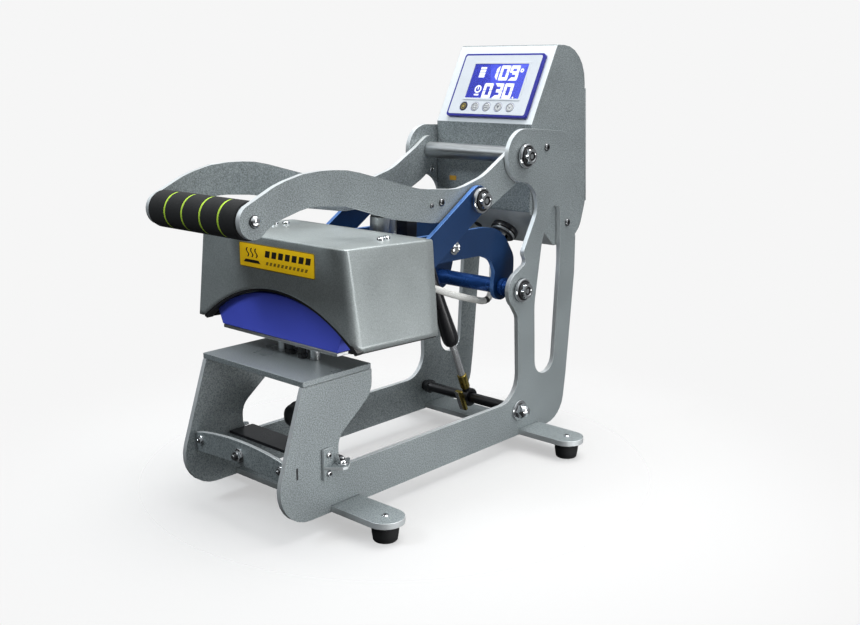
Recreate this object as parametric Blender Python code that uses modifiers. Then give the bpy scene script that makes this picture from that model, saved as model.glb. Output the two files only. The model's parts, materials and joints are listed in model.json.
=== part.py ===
"""Auto-opening clamshell cap heat press.

The press stands on four rubber feet.  X runs across the machine, the handle is at -Y and
the control box at +Y.  Dimensions below are in millimetres, measured from the datum: the
middle of the press, the front edge of the front foot bar and the lower edge of the side
plates.  One parent empty moves the datum so that the origin is at the bottom centre.
"""
import math

import bmesh
import bpy
from mathutils import Matrix, Vector

MM = 0.001
GAP = 0.3                      # clearance kept between neighbouring pieces

# Driving dimensions of the frame
PLATE_OUT = 70.0               # outer face of the side plates
PLATE_T = 5.0
PLATE_IN = PLATE_OUT - PLATE_T
FOOT_H = 16.0                  # rubber feet, below the side plates
BAR_T = 6.0
BAR_HALF = 137.0
BAR_W = 35.0
FRONT_BAR_Y = 15.5             # centre lines of the two foot bars
REAR_BAR_Y = 287.0
FOOT_X = BAR_HALF - BAR_W / 2
SHELF = dict(y0=-31.0, y1=49.5, z0=121.3, t=5.0)

# Pivots, as (Y, Z)
HANDLE_PIVOT = (269.5, 296.5)
HEAD_PIVOT = (267.0, 159.0)
LINK_PIN = (197.5, 258.5)
LINK_LENGTH = 95.0
LINK_SLOPE = math.radians(212.6)
SPRING_PIN = (190.0, 210.0)
SPRING_FOOT = (268.0, 28.0)
PIN_R = 6.0

# Cap platens
PAD_CENTRE_Z = 25.0            # axis of the cap curve, below the pad
PAD_R = 162.0
PAD_HALF = 86.0
PAD_Y = (0.0, 84.0)
PAD_BASE_Z = 147.0
POST_X, POST_Y = 22.0, 25.5
SCREW_Y = 38.0

# Handle
ARM_OUT = 64.5
GRIP = (-71.0, 265.5)
GRIP_R = 16.0

# Control box: bottom of the sloped panel, its length and its lean from vertical
PANEL_FOOT = (287.3, 326.7)
PANEL_L = 90.0
PANEL_LEAN = math.radians(27.5)
BOX_HALF = 64.6
BOX_REAR = 388.3
COVER_T = 1.6
BACK_T = 2.0
BACK_Z = (240.0, 362.0)        # the box's back wall, which leans forward by BACK_RUN
BACK_RUN = 7.3
BACK_LEAN = math.atan2(BACK_RUN, BACK_Z[1] - BACK_Z[0])
PANEL_MID = 41.6               # middle of the display, along the panel
PANEL_LOW = 237.0              # where the slanted panel below the display starts
LOWER_PANEL = (331.0, 197.0)   # and where it ends
GLAND_X = 12.7
GLAND_ALONG = 0.6              # down the slanted panel, as a share of its length
DISPLAY_X = 3.0

# Power inlet on the back cover, measured up and out of the cover plate
INLET = dict(x=-28.0, half=15.5, low=9.0, high=35.0, t=1.6)

# The origin is at the bottom centre of the whole press
FRONT_Y = GRIP[0] - GRIP_R
REAR_Y = (BOX_REAR + GAP + (BACK_T + GAP + INLET["t"]) * math.cos(BACK_LEAN)
          - INLET["low"] * math.sin(BACK_LEAN))
DATUM = Vector((0.0, -(FRONT_Y + REAR_Y) / 2, FOOT_H)) * MM

COLOURS = {
    "painted_steel": ((0.235, 0.265, 0.275), 0.42, 0.55),
    "bright_steel": ((0.62, 0.63, 0.64), 0.22, 1.0),
    "blued_steel": ((0.012, 0.05, 0.16), 0.35, 0.5),
    "black_steel": ((0.012, 0.012, 0.013), 0.4, 0.6),
    "cover_sheet": ((0.38, 0.41, 0.41), 0.35, 0.7),
    "aluminium": ((0.55, 0.55, 0.54), 0.3, 1.0),
    "silicone": ((0.035, 0.05, 0.29), 0.6, 0.0),
    "rubber": ((0.01, 0.01, 0.01), 0.7, 0.0),
    "foam": ((0.008, 0.009, 0.01), 0.85, 0.0),
    "box_paint": ((0.7, 0.73, 0.73), 0.35, 0.1),
    "bezel": ((0.01, 0.01, 0.22), 0.3, 0.0),
    "fascia": ((0.75, 0.78, 0.85), 0.35, 0.0),
    "screen": ((0.1, 0.13, 0.85), 0.2, 0.0),
    "brass": ((0.62, 0.44, 0.16), 0.3, 1.0),
    "board": ((0.01, 0.16, 0.05), 0.5, 0.0),
    "sleeve": ((0.75, 0.74, 0.68), 0.8, 0.0),
}


# ---------------------------------------------------------------- tools
def clear_scene():
    for obj in list(bpy.data.objects):
        bpy.data.objects.remove(obj, do_unlink=True)


def collection(name):
    made = bpy.data.collections.new(name)
    bpy.context.scene.collection.children.link(made)
    return made


def material(key):
    found = bpy.data.materials.get(key)
    if found:
        return found
    colour, roughness, metallic = COLOURS[key]
    made = bpy.data.materials.new(key)
    made.use_nodes = True
    shader = made.node_tree.nodes["Principled BSDF"]
    shader.inputs["Base Color"].default_value = (*colour, 1.0)
    shader.inputs["Roughness"].default_value = roughness
    shader.inputs["Metallic"].default_value = metallic
    return made


def empty(name, y=0.0, z=0.0, parent=None, x=0.0):
    """An empty on a joint's axis; its place is given from the datum."""
    made = bpy.data.objects.new(name, None)
    PARTS.objects.link(made)
    place = Vector((x, y, z)) * MM
    if parent is None:
        made.location = DATUM
    else:
        made.parent = parent
        made.location = place - datum_place(parent)
    return made


def datum_place(obj):
    """Where an empty is, measured from the datum, in metres."""
    place = Vector((0.0, 0.0, 0.0))
    while obj.parent is not None:
        place += obj.location
        obj = obj.parent
    return place


def put(obj, name, parent, key, smooth=30.0):
    """Name an object whose data is in datum coordinates, and hang it on its body's empty."""
    obj.name = name
    for other in list(obj.users_collection):
        other.objects.unlink(obj)
    PARTS.objects.link(obj)
    obj.data.materials.append(material(key))
    obj.parent = parent
    obj.location = obj.location - datum_place(parent)
    if obj.type == "MESH":
        obj.data.shade_smooth()
        obj.data.set_sharp_from_angle(angle=math.radians(smooth))
    return obj


def from_bmesh(bm, name):
    mesh = bpy.data.meshes.new(name)
    bm.to_mesh(mesh)
    bm.free()
    return bpy.data.objects.new(name, mesh)


def arc(cy, cz, radius, start, stop, steps):
    """Points on an arc about (cy, cz); angles in degrees, from +Y towards +Z."""
    turns = [math.radians(start + (stop - start) * i / steps) for i in range(steps + 1)]
    return [(cy + radius * math.cos(t), cz + radius * math.sin(t)) for t in turns]


def circle(cy, cz, radius, steps=20):
    return arc(cy, cz, radius, 0.0, 360.0 - 360.0 / steps, steps - 1)


def fillet(corners, step=15.0):
    """A closed outline whose corners (y, z, radius) are rounded; (y, z) stays a plain point."""
    points = []
    count = len(corners)
    for i, corner in enumerate(corners):
        here = Vector(corner[:2])
        radius = corner[2] if len(corner) > 2 else 0.0
        back = Vector(corners[i - 1][:2]) - here
        ahead = Vector(corners[(i + 1) % count][:2]) - here
        if radius <= 0.0:
            points.append(tuple(here))
            continue
        back.normalize()
        ahead.normalize()
        half = back.angle(ahead) / 2
        centre = here + (back + ahead).normalized() * (radius / math.sin(half))
        first = here + back * (radius / math.tan(half)) - centre
        last = here + ahead * (radius / math.tan(half)) - centre
        turn = math.degrees(first.angle(last))
        sign = 1.0 if first.x * last.y - first.y * last.x > 0 else -1.0
        steps = max(2, math.ceil(turn / step))
        for k in range(steps + 1):
            spin = Matrix.Rotation(sign * math.radians(turn) * k / steps, 2)
            points.append(tuple(centre + spin @ first))
    return points


def flat_curve(name, outlines, thickness):
    """A 2D curve, filled and extruded both ways; later outlines are holes."""
    data = bpy.data.curves.new(name, "CURVE")
    data.dimensions = "2D"
    data.fill_mode = "BOTH"
    data.extrude = thickness / 2 * MM
    for outline in outlines:
        spline = data.splines.new("POLY")
        spline.points.add(len(outline) - 1)
        for point, (u, v) in zip(spline.points, outline):
            point.co = (u * MM, v * MM, 0.0, 1.0)
        spline.use_cyclic_u = True
    return bpy.data.objects.new(name, data)


def as_mesh(obj):
    """Turn a curve object into a welded mesh object with the same place."""
    bpy.context.scene.collection.objects.link(obj)
    bpy.context.view_layer.update()
    depsgraph = bpy.context.evaluated_depsgraph_get()
    mesh = bpy.data.meshes.new_from_object(obj.evaluated_get(depsgraph))
    bm = bmesh.new()
    bm.from_mesh(mesh)
    bmesh.ops.remove_doubles(bm, verts=bm.verts, dist=1e-6)
    bm.to_mesh(mesh)
    bm.free()
    mesh.materials.clear()
    made = bpy.data.objects.new(obj.name, mesh)
    made.matrix_world = obj.matrix_world
    bpy.data.objects.remove(obj, do_unlink=True)
    return made


def side_sheet(name, outlines, x_mid, thickness, parent, key):
    """A sheet whose outlines are in the (Y, Z) plane."""
    obj = flat_curve(name, outlines, thickness)
    obj.rotation_euler = (math.radians(90), 0.0, math.radians(90))
    obj.location = Vector((x_mid, 0.0, 0.0)) * MM
    return put(obj, name, parent, key)


def floor_sheet(name, outlines, z_mid, thickness, parent, key):
    """A sheet whose outlines are in the (X, Y) plane."""
    obj = flat_curve(name, outlines, thickness)
    obj.location = Vector((0.0, 0.0, z_mid)) * MM
    return put(obj, name, parent, key)


def front_sheet(name, outlines, y_mid, thickness, parent, key):
    """A sheet whose outlines are in the (X, Z) plane."""
    obj = flat_curve(name, outlines, thickness)
    obj.rotation_euler = (math.radians(90), 0.0, 0.0)
    obj.location = Vector((0.0, y_mid, 0.0)) * MM
    return put(obj, name, parent, key)


def turned(name, profile, axis, place, parent, key, sides=20):
    """A round piece: profile (radius, height) from top to bottom, closed by the axis or looped."""
    bm = bmesh.new()
    verts = [bm.verts.new((r * MM, 0.0, h * MM)) for r, h in profile]
    for a, b in zip(verts, verts[1:]):
        bm.edges.new((a, b))
    if min(profile[0][0], profile[-1][0]) > 0.0:
        bm.edges.new((verts[-1], verts[0]))
    obj = from_bmesh(bm, name)
    screw = obj.modifiers.new("Turn", "SCREW")
    screw.steps = sides
    screw.render_steps = sides
    screw.use_merge_vertices = True
    screw.merge_threshold = 1e-6
    screw.use_smooth_shade = True
    direction = Vector(axis).normalized()
    obj.rotation_euler = direction.to_track_quat("Z", "Y").to_euler()
    obj.location = Vector(place) * MM
    return put(obj, name, parent, key)


def block(name, low, high, parent, key, bevel=0.0, segments=1):
    bm = bmesh.new()
    bmesh.ops.create_cube(bm, size=1.0)
    size = Vector(high) - Vector(low)
    middle = (Vector(high) + Vector(low)) / 2
    bmesh.ops.scale(bm, vec=size * MM, verts=bm.verts)
    bmesh.ops.translate(bm, vec=middle * MM, verts=bm.verts)
    obj = from_bmesh(bm, name)
    if bevel:
        modifier = obj.modifiers.new("Edges", "BEVEL")
        modifier.width = bevel * MM
        modifier.segments = segments
    return put(obj, name, parent, key)


def cut(obj, cutters):
    """Subtract cutter objects, which stay in their own collection as wire guides."""
    for number, cutter in enumerate(cutters):
        for other in list(cutter.users_collection):
            other.objects.unlink(cutter)
        CUTTERS.objects.link(cutter)
        cutter.name = f"{obj.name}_cut_{number}"
        cutter.hide_render = True
        cutter.display_type = "WIRE"
        modifier = obj.modifiers.new(f"Cut {number}", "BOOLEAN")
        modifier.operation = "DIFFERENCE"
        modifier.solver = "EXACT"
        modifier.object = cutter
    return obj


def cutter_rod(radius, length, axis, place, parent, sides=20):
    bm = bmesh.new()
    bmesh.ops.create_cone(bm, cap_ends=True, segments=sides, radius1=radius * MM,
                          radius2=radius * MM, depth=length * MM)
    obj = from_bmesh(bm, "rod")
    obj.rotation_euler = Vector(axis).normalized().to_track_quat("Z", "Y").to_euler()
    obj.parent = parent
    obj.location = Vector(place) * MM - datum_place(parent)
    return obj


def cutter_outline(outline, x_mid, thickness, parent):
    obj = flat_curve("outline", [outline], thickness)
    obj.rotation_euler = (math.radians(90), 0.0, math.radians(90))
    obj = as_mesh(obj)
    obj.rotation_euler = (math.radians(90), 0.0, math.radians(90))
    obj.parent = parent
    obj.location = Vector((x_mid, 0.0, 0.0)) * MM - datum_place(parent)
    return obj


def sided(name, side):
    return f"{name}_{'right' if side > 0 else 'left'}"


# ---------------------------------------------------------------- frame
def side_plate_outline():
    ear = HANDLE_PIVOT
    knuckle = HEAD_PIVOT
    slot_top = BAR_T + GAP
    half = BAR_W / 2 + GAP
    corners = [
        (FRONT_BAR_Y - half, 0), (FRONT_BAR_Y - half, slot_top),
        (FRONT_BAR_Y + half, slot_top), (FRONT_BAR_Y + half, 0),
        (REAR_BAR_Y - half, 0), (REAR_BAR_Y - half, slot_top),
        (REAR_BAR_Y + half, slot_top), (REAR_BAR_Y + half, 0),
        (346, 0, 30), (353, 50, 60), (364, 165, 40), (364, 205, 6), (353, 220, 8),
        (352.5, 317, 22), (322, 319.5, 60), (290, 322.5),
        *arc(*ear, 27.0, 84.0, 255.0, 16),
        *arc(266.0, 243.5, 27.0, 88.0, -32.0, 9),
        (270.5, 197, 6), (276.5, 186, 5),
        *arc(*knuckle, 20.0, 118.0, 232.0, 10),
        (263.5, 131, 12), (267.5, 39.5, 28), (8, 39.5, 13), (8, 67, 18), (50, 99, 22),
        (50, 121), (-31, 121), (-72, 0, 33),
    ]
    return fillet(corners)


def side_window():
    return fillet([(295.5, 60, 17), (292, 140, 60), (303, 207, 30), (321.5, 242, 5),
                   (333.5, 240, 7), (336, 180, 60), (328.5, 60, 17)])


def build_side_plates(frame):
    outline = side_plate_outline()
    for side in (-1, 1):
        holes = [side_window(), circle(*HANDLE_PIVOT, PIN_R + GAP),
                 circle(*HEAD_PIVOT, PIN_R + GAP), circle(*SPRING_FOOT, 4.0 + GAP)]
        side_sheet(sided("side_plate", side), [outline, *holes],
                   side * (PLATE_IN + PLATE_T / 2), PLATE_T, frame, "painted_steel")


def build_base(frame):
    half_w = BAR_W / 2
    for name, y in (("front_foot_bar", FRONT_BAR_Y), ("rear_foot_bar", REAR_BAR_Y)):
        right = [(FOOT_X + p, y + q) for p, q in arc(0, 0, half_w, -90, 90, 12)]
        left = [(-FOOT_X + p, y + q) for p, q in arc(0, 0, half_w, 90, 270, 12)]
        floor_sheet(name, [right + left], BAR_T / 2, BAR_T, frame, "painted_steel")
        for side in (-1, 1):
            foot = sided(name.split("_")[0] + "_rubber_foot", side)
            profile = [(0, -GAP), (13.3, -GAP), (13.3, -2.0), (10.6, -FOOT_H + 0.8),
                       (9.8, -FOOT_H), (0, -FOOT_H)]
            turned(foot, profile, (0, 0, 1), (side * FOOT_X, y, 0), frame, "rubber", 20)


def build_shelf(frame):
    y0, y1, z0, t = SHELF["y0"], SHELF["y1"], SHELF["z0"], SHELF["t"]
    holes = [circle(side * POST_X, POST_Y, 5.0 + GAP, 16) for side in (-1, 1)]
    holes.append(circle(0.0, SCREW_Y, 6.0 + GAP, 20))
    outline = fillet([(-PLATE_OUT, y0, 1), (PLATE_OUT, y0, 1), (PLATE_OUT, y1, 1),
                      (-PLATE_OUT, y1, 1)], 45)
    floor_sheet("shelf_plate", [outline, *holes], z0 + t / 2, t, frame, "painted_steel")


def build_cross_members(frame):
    inner = PLATE_IN - GAP
    arch = [(-inner, 36.0), *[(x, 39.0 - (x / inner) ** 2 * 3.0) for x in range(-52, 53, 13)],
            (inner, 36.0), (inner, 54.5),
            *[(x, 61.0 - (x / inner) ** 2 * 6.0) for x in range(52, -53, -13)],
            (-inner, 54.5)]
    front_sheet("front_brace", [arch, circle(0.0, 48.0, 3.5, 12)], -45.0, 4.0, frame,
                "painted_steel")
    block("cross_plate", (-inner, -9.0, 43.0), (inner, 19.0, 46.0), frame, "black_steel", 0.5)


def build_lower_shaft(frame):
    """The shaft that carries the gas spring, with a domed nut outside each side plate."""
    reach = PLATE_IN - GAP
    out = PLATE_OUT + GAP
    end = [(0, out + 12.7), (4.5, out + 12.4), (7.5, out + 10), (7.5, out + 2.2),
           (11.5, out + 2.2), (11.5, out), (4, out), (4, reach), (6, reach)]
    profile = [*end, *[(r, -x) for r, x in end[::-1]]]
    turned("lower_shaft", profile, (1, 0, 0), (0, *SPRING_FOOT), frame, "black_steel", 16)


def build_pivot_bolts(frame):
    for label, pivot in (("handle_pivot_bolt", HANDLE_PIVOT), ("head_pivot_bolt", HEAD_PIVOT)):
        for side in (-1, 1):
            profile = [(0, 8.0), (2.8, 8.0), (2.8, 10.5), (7.0, 10.5), (8.6, 8.8), (8.6, 4.4),
                       (12.4, 4.4), (12.4, GAP), (PIN_R, GAP), (PIN_R, -23.0), (0, -23.0)]
            turned(sided(label, side), profile, (side, 0, 0), (side * PLATE_OUT, *pivot),
                   frame, "bright_steel", 20)


# ---------------------------------------------------------------- control box
def panel_point(along, out=0.0):
    """A point of the panel's middle line: along it from its foot, and out of its face."""
    y = PANEL_FOOT[0] + along * math.sin(PANEL_LEAN) - out * math.cos(PANEL_LEAN)
    z = PANEL_FOOT[1] + along * math.cos(PANEL_LEAN) + out * math.sin(PANEL_LEAN)
    return y, z


def box_outline(shrink=0.0):
    s = shrink
    return fillet([(PANEL_FOOT[0] + s, PANEL_LOW + s * 0.4, 4),
                   (LOWER_PANEL[0] + s * 0.6, LOWER_PANEL[1] + s, 3),
                   (362 - s, LOWER_PANEL[1] + s, 10), (380 - s * 0.8, 212 + s * 0.6, 24),
                   (BOX_REAR - s, BACK_Z[0] - 2, 6),
                   (BOX_REAR - BACK_RUN - s, BACK_Z[1], 6), (380 - s, 406 - s, 40),
                   (panel_point(PANEL_L)[0] + s * 0.6, panel_point(PANEL_L)[1] - s, 3),
                   (PANEL_FOOT[0] + s, PANEL_FOOT[1] - s * 0.3, 3)])


def build_control_box(frame):
    """A folded housing: solid outline with its inside cut out and open at the back."""
    body = flat_curve("control_box", [box_outline()], 2 * BOX_HALF)
    body.rotation_euler = (math.radians(90), 0.0, math.radians(90))
    body = as_mesh(body)
    body.rotation_euler = (math.radians(90), 0.0, math.radians(90))
    put(body, "control_box", frame, "box_paint")
    inside = cutter_outline(box_outline(COVER_T), 0.0, 2 * (BOX_HALF - COVER_T), frame)
    low, high = BACK_Z[0] + 10, BACK_Z[1] - 10
    back = cutter_outline([(350, low), (400, low), (400, high), (350, high)], 0.0,
                          2 * (BOX_HALF - 8), frame)
    window = panel_cutter(PANEL_MID, (100.0, 62.6, 30.0), frame)
    middle, normal = lower_panel_axis()
    gland = cutter_rod(12.3, 20.0, normal, (GLAND_X, middle.y, middle.z), frame)
    cut(body, [inside, back, window, gland])


def on_back(obj):
    """Move an object made upright, its low edge at Z = 0, onto the box's leaning back."""
    obj.rotation_euler = (BACK_LEAN, 0.0, 0.0)
    obj.location += Vector((0.0, BOX_REAR + GAP, BACK_Z[0])) * MM
    return obj


def build_back(frame):
    """The cover plate on the back of the box, and the power inlet on it."""
    on_back(block("back_cover", (-BOX_HALF, 0.0, 0.0), (BOX_HALF, BACK_T, BACK_Z[1] - BACK_Z[0]),
                  frame, "painted_steel", 0.5))
    out = BACK_T + GAP
    on_back(block("power_inlet", (INLET["x"] - INLET["half"], out, INLET["low"]),
                  (INLET["x"] + INLET["half"], out + INLET["t"], INLET["high"]),
                  frame, "black_steel", 0.5))


def on_panel(obj, along, out, x=DISPLAY_X):
    """Move an object made flat in XY, facing +Z, onto the sloped panel."""
    obj.rotation_euler = (math.pi / 2 - PANEL_LEAN, 0.0, 0.0)
    y, z = panel_point(along, out)
    obj.location = Vector((x, y, z)) * MM
    return obj


def panel_cutter(along, size, frame):
    bm = bmesh.new()
    bmesh.ops.create_cube(bm, size=1.0)
    bmesh.ops.scale(bm, vec=Vector(size) * MM, verts=bm.verts)
    obj = on_panel(from_bmesh(bm, "window"), along, 0.0)
    obj.parent = frame
    return obj


def lower_panel_axis():
    """The gland's place on the slanted panel below the display, and the direction out of it."""
    top = Vector((0.0, PANEL_FOOT[0], PANEL_LOW))
    foot = Vector((0.0, *LOWER_PANEL))
    run = (foot - top).normalized()
    return top.lerp(foot, GLAND_ALONG), Vector((0.0, run.z, -run.y))


def rounded_rect(width, height, radius, steps=4):
    w, h = width / 2, height / 2
    return fillet([(-w, -h, radius), (w, -h, radius), (w, h, radius), (-w, h, radius)],
                  90 / steps)


BUTTONS = (("button_power", -32.4), ("button_mode", -16.7), ("button_down", -1.0),
           ("button_up", 14.7), ("button_start", 30.4))
BUTTON_ALONG = 16.0
BUTTON_R = 5.0


def build_display(frame):
    """Bezel, printed fascia and screen, laid one over the other on the sloped panel."""
    bezel = flat_curve("display_bezel",
                       [rounded_rect(108, 74, 5), rounded_rect(101.5, 67.5, 2.5)], 4)
    put(on_panel(bezel, PANEL_MID, 2.0 + GAP), "display_bezel", frame, "bezel")
    holes = [[(x + p, BUTTON_ALONG - PANEL_MID + q) for p, q in circle(0, 0, BUTTON_R + GAP, 12)]
             for _, x in BUTTONS]
    window = [(x, y + 4.8) for x, y in rounded_rect(75.5, 41.5, 1)]
    fascia = flat_curve("display_fascia", [rounded_rect(100.9, 66.9, 2), window, *holes], 3)
    put(on_panel(fascia, PANEL_MID, 2.0 + GAP), "display_fascia", frame, "fascia")
    screen = block("lcd_screen", (-37.3, -20.3, -1.3), (37.3, 20.3, 1.2), frame, "screen")
    on_panel(screen, PANEL_MID + 4.8, 2.0 + GAP)
    board = block("controller_board", (-48, -26, -1.6), (48, 26, 0.0), frame, "board")
    on_panel(board, PANEL_MID, -5.5)
    for name, x in BUTTONS:
        y, z = panel_point(BUTTON_ALONG)
        x += DISPLAY_X
        travel = empty(f"{name}_joint", y, z, frame, x)
        profile = [(0, 5.0), (3.9, 5.0), (BUTTON_R - 0.4, 4.3), (BUTTON_R - 0.4, -3.0), (0, -3.0)]
        normal = (0, -math.cos(PANEL_LEAN), math.sin(PANEL_LEAN))
        key = "brass" if name == "button_power" else "fascia"
        turned(name, profile, normal, (x, y, z), travel, key, 12)


def build_box_fittings(frame):
    block("solid_state_relay", (-55.0, 336.0, 203.0), (-12.0, 356.0, 225.0), frame,
          "black_steel", 1.0)
    middle, normal = lower_panel_axis()
    profile = [(7.0, 9.0), (13.0, 9.0), (15.2, 6.5), (15.2, GAP), (12.0, GAP), (12.0, -6.0),
               (7.0, -6.0)]
    turned("cable_gland", profile, normal, (GLAND_X, middle.y, middle.z), frame,
           "black_steel", 20)


# ---------------------------------------------------------------- lower platen
def pad_top():
    """Points of the cap curve, from the left end to the right end, in (X, Z)."""
    half = math.degrees(math.asin(PAD_HALF / PAD_R))
    return arc(0.0, PAD_CENTRE_Z, PAD_R, 90 + half, 90 - half, 24)


def build_lower_platen(platen):
    y0, y1 = PAD_Y
    top = pad_top()
    foot = PAD_HALF - 6.5
    outline = [*top, (foot, PAD_BASE_Z), (-foot, PAD_BASE_Z)]
    front_sheet("silicone_pad", [outline], (y0 + y1) / 2, y1 - y0, platen, "silicone")
    block("lower_platen_plate", (-79.0, y0 + 0.5, 143.4), (79.0, y1 - 0.5, PAD_BASE_Z - GAP),
          platen, "aluminium", 0.4)
    for side in (-1, 1):
        turned(sided("guide_post", side), [(0, 143.1), (5, 143.1), (5, 100), (4, 99), (0, 99)],
               (0, 0, 1), (side * POST_X, POST_Y, 0), platen, "bright_steel", 16)


def build_knob(knob):
    profile = [(0, 143.1), (6, 143.1), (6, 84), (12, 84), (14, 75.5), (22, 74), (26.4, 69),
               (26.4, 60.5), (22, 55.5), (0, 55.5)]
    turned("pressure_knob", profile, (0, 0, 1), (0, SCREW_Y, 0), knob, "black_steel", 24)


# ---------------------------------------------------------------- head
HEAD_LEAN = math.radians(2.3)       # how far the closed cover leans back, nose up
COVER = dict(front=-276.0, front_low=-272.5, rear=-168.0, low=-17.0, top=68.5, half_low=110.5, half_top=97.5,
             crown=21.0, chamfer=11.0)
HOOK_X = 42.5
HOOK_T = 5.0


def head_cover_mesh():
    """The cover: a tapered box with chamfered front corners, open below, in head axes."""
    c = COVER
    bm = bmesh.new()
    bmesh.ops.create_cube(bm, size=1.0)
    for v in bm.verts:
        half = c["half_top"] if v.co.z > 0 else c["half_low"]
        front = c["front"] if v.co.z > 0 else c["front_low"]
        v.co = Vector((half if v.co.x > 0 else -half, front if v.co.y < 0 else c["rear"],
                       c["top"] if v.co.z > 0 else c["low"])) * MM
    edges = [e for e in bm.edges if all(v.co.y < (c["front_low"] + 1) * MM for v in e.verts)
             and abs(e.verts[0].co.z - e.verts[1].co.z) > 0.05]
    bmesh.ops.bevel(bm, geom=edges, offset=c["chamfer"] * MM, segments=3, profile=0.6,
                    affect="EDGES")
    low = [f for f in bm.faces if f.normal.z < -0.9]
    bmesh.ops.delete(bm, geom=low, context="FACES")
    return from_bmesh(bm, "heat_cover")


def cover_arch():
    """The arch cut in the front of the cover, in head axes (X, Z)."""
    rise = COVER["crown"] - COVER["low"]
    half = COVER["half_low"] - 1.5
    radius = (half ** 2 + rise ** 2) / (2 * rise)
    centre = COVER["crown"] - radius
    angle = math.degrees(math.asin(half / radius))
    return arc(0.0, centre, radius, 90 + angle, 90 - angle, 28), centre, radius


def build_head(head):
    """Everything on the head, modelled level in axes at its pivot; the empty tilts it."""
    cover = head_cover_mesh()
    thick = cover.modifiers.new("Sheet", "SOLIDIFY")
    thick.thickness = COVER_T * MM
    thick.offset = -1.0
    attach(cover, "heat_cover", head, "cover_sheet")
    arch, centre, radius = cover_arch()
    opening = [*arch, (COVER["half_low"] - 1.5, -60), (-COVER["half_low"] + 1.5, -60)]
    front = head_prism(opening, COVER["front"] - 8, COVER["front"] + 6.5)
    back = head_block((-77.0, COVER["rear"] - 8, 20.0), (77.0, COVER["rear"] + 8, 64.5))
    cut(cover, [front, back])

    platen_r = radius + 3.0
    span = math.degrees(math.asin(84.0 / platen_r))
    curve = arc(0.0, centre, platen_r, 90 + span, 90 - span, 24)
    section = [*curve, (84.0, 34.0), (60.0, 42.0), (-60.0, 42.0), (-84.0, 34.0)]
    heated = head_prism(section, -267.0, -183.0)
    attach(heated, "heated_platen", head, "aluminium")

    for side in (-1, 1):
        obj = flat_curve("hook", [hook_outline(), circle(0, 0, PIN_R + 2 + GAP, 20),
                                  circle(*head_axes(SPRING_PIN), 4.0 + GAP, 16)], HOOK_T)
        obj.rotation_euler = (math.radians(90), 0.0, math.radians(90))
        obj.location = Vector((side * HOOK_X, 0.0, 0.0)) * MM
        attach(obj, sided("hook_arm", side), head, "blued_steel")

    tube = [(PIN_R + GAP, 64.4), (PIN_R + 2, 64.4), (PIN_R + 2, -64.4), (PIN_R + GAP, -64.4)]
    attach(head_turned(tube, (1, 0, 0), (0, 0, 0), 20), "pivot_tube", head, "blued_steel")
    y, z = head_axes(SPRING_PIN)
    pin = [(0, 49.4), (5.5, 49.4), (6.5, 48.6), (6.5, 45.4), (4, 45.4), (4, -45.4), (6.5, -45.4),
           (6.5, -48.6), (5.5, -49.4), (0, -49.4)]
    attach(head_turned(pin, (1, 0, 0), (0, y, z), 16), "spring_pin", head, "bright_steel")
    beam = head_block((-HOOK_X + HOOK_T / 2 + GAP, -240.0, 42.6),
                      (HOOK_X - HOOK_T / 2 - GAP, -95.0, 52.6))
    attach(beam, "head_beam", head, "blued_steel")
    y, z = head_axes(link_end())
    tip = arc(y, z, 11.0, -75.0, 95.0, 10)
    for side in (-1, 1):
        lug = fillet([(-215, 58), (-215, 43), (-181, 43), (-176, 35), *tip])
        obj = flat_curve("lug", [lug, circle(y, z, 4.0 + GAP, 16)], HOOK_T)
        obj.rotation_euler = (math.radians(90), 0.0, math.radians(90))
        obj.location = Vector((side * (HOOK_X + HOOK_T + GAP), 0.0, 0.0)) * MM
        attach(obj, sided("link_lug", side), head, "blued_steel")
    silver = [(0, 95), (11, 95), (13, 93), (13, 52.9), (0, 52.9)]
    attach(head_turned(silver, (0, 0, 1), (0, -133.0, 0), 20), "release_cylinder", head,
           "bright_steel")
    attach(head_block((-10, -110, 52.9), (10, -95, 82)), "magnet_block", head, "black_steel")


def head_axes(point):
    """A datum point (Y, Z) in the head's own level axes at its pivot."""
    y, z = point[0] - HEAD_PIVOT[0], point[1] - HEAD_PIVOT[1]
    return (y * math.cos(HEAD_LEAN) - z * math.sin(HEAD_LEAN),
            y * math.sin(HEAD_LEAN) + z * math.cos(HEAD_LEAN))


def attach(obj, name, parent, key):
    """Hang an object whose data is in its parent's axes."""
    obj.name = name
    for other in list(obj.users_collection):
        other.objects.unlink(obj)
    PARTS.objects.link(obj)
    obj.data.materials.append(material(key))
    obj.parent = parent
    if obj.type == "MESH":
        obj.data.shade_smooth()
        obj.data.set_sharp_from_angle(angle=math.radians(30.0))
    return obj


def head_block(low, high):
    bm = bmesh.new()
    bmesh.ops.create_cube(bm, size=1.0)
    bmesh.ops.scale(bm, vec=(Vector(high) - Vector(low)) * MM, verts=bm.verts)
    bmesh.ops.translate(bm, vec=(Vector(high) + Vector(low)) / 2 * MM, verts=bm.verts)
    return tilted(from_bmesh(bm, "block"))


def tilted(obj):
    """Hang a cutter or a piece on the head's empty, which leans it back."""
    obj.parent = HEAD
    return obj


def head_prism(outline, y0, y1):
    """An outline in (X, Z), extruded from y0 to y1, as a mesh in head axes."""
    obj = flat_curve("prism", [outline], y1 - y0)
    obj.rotation_euler = (math.radians(90), 0.0, 0.0)
    obj = as_mesh(obj)
    obj.rotation_euler = (math.radians(90), 0.0, 0.0)
    obj.location = Vector((0.0, (y0 + y1) / 2, 0.0)) * MM
    return tilted(obj)


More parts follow.
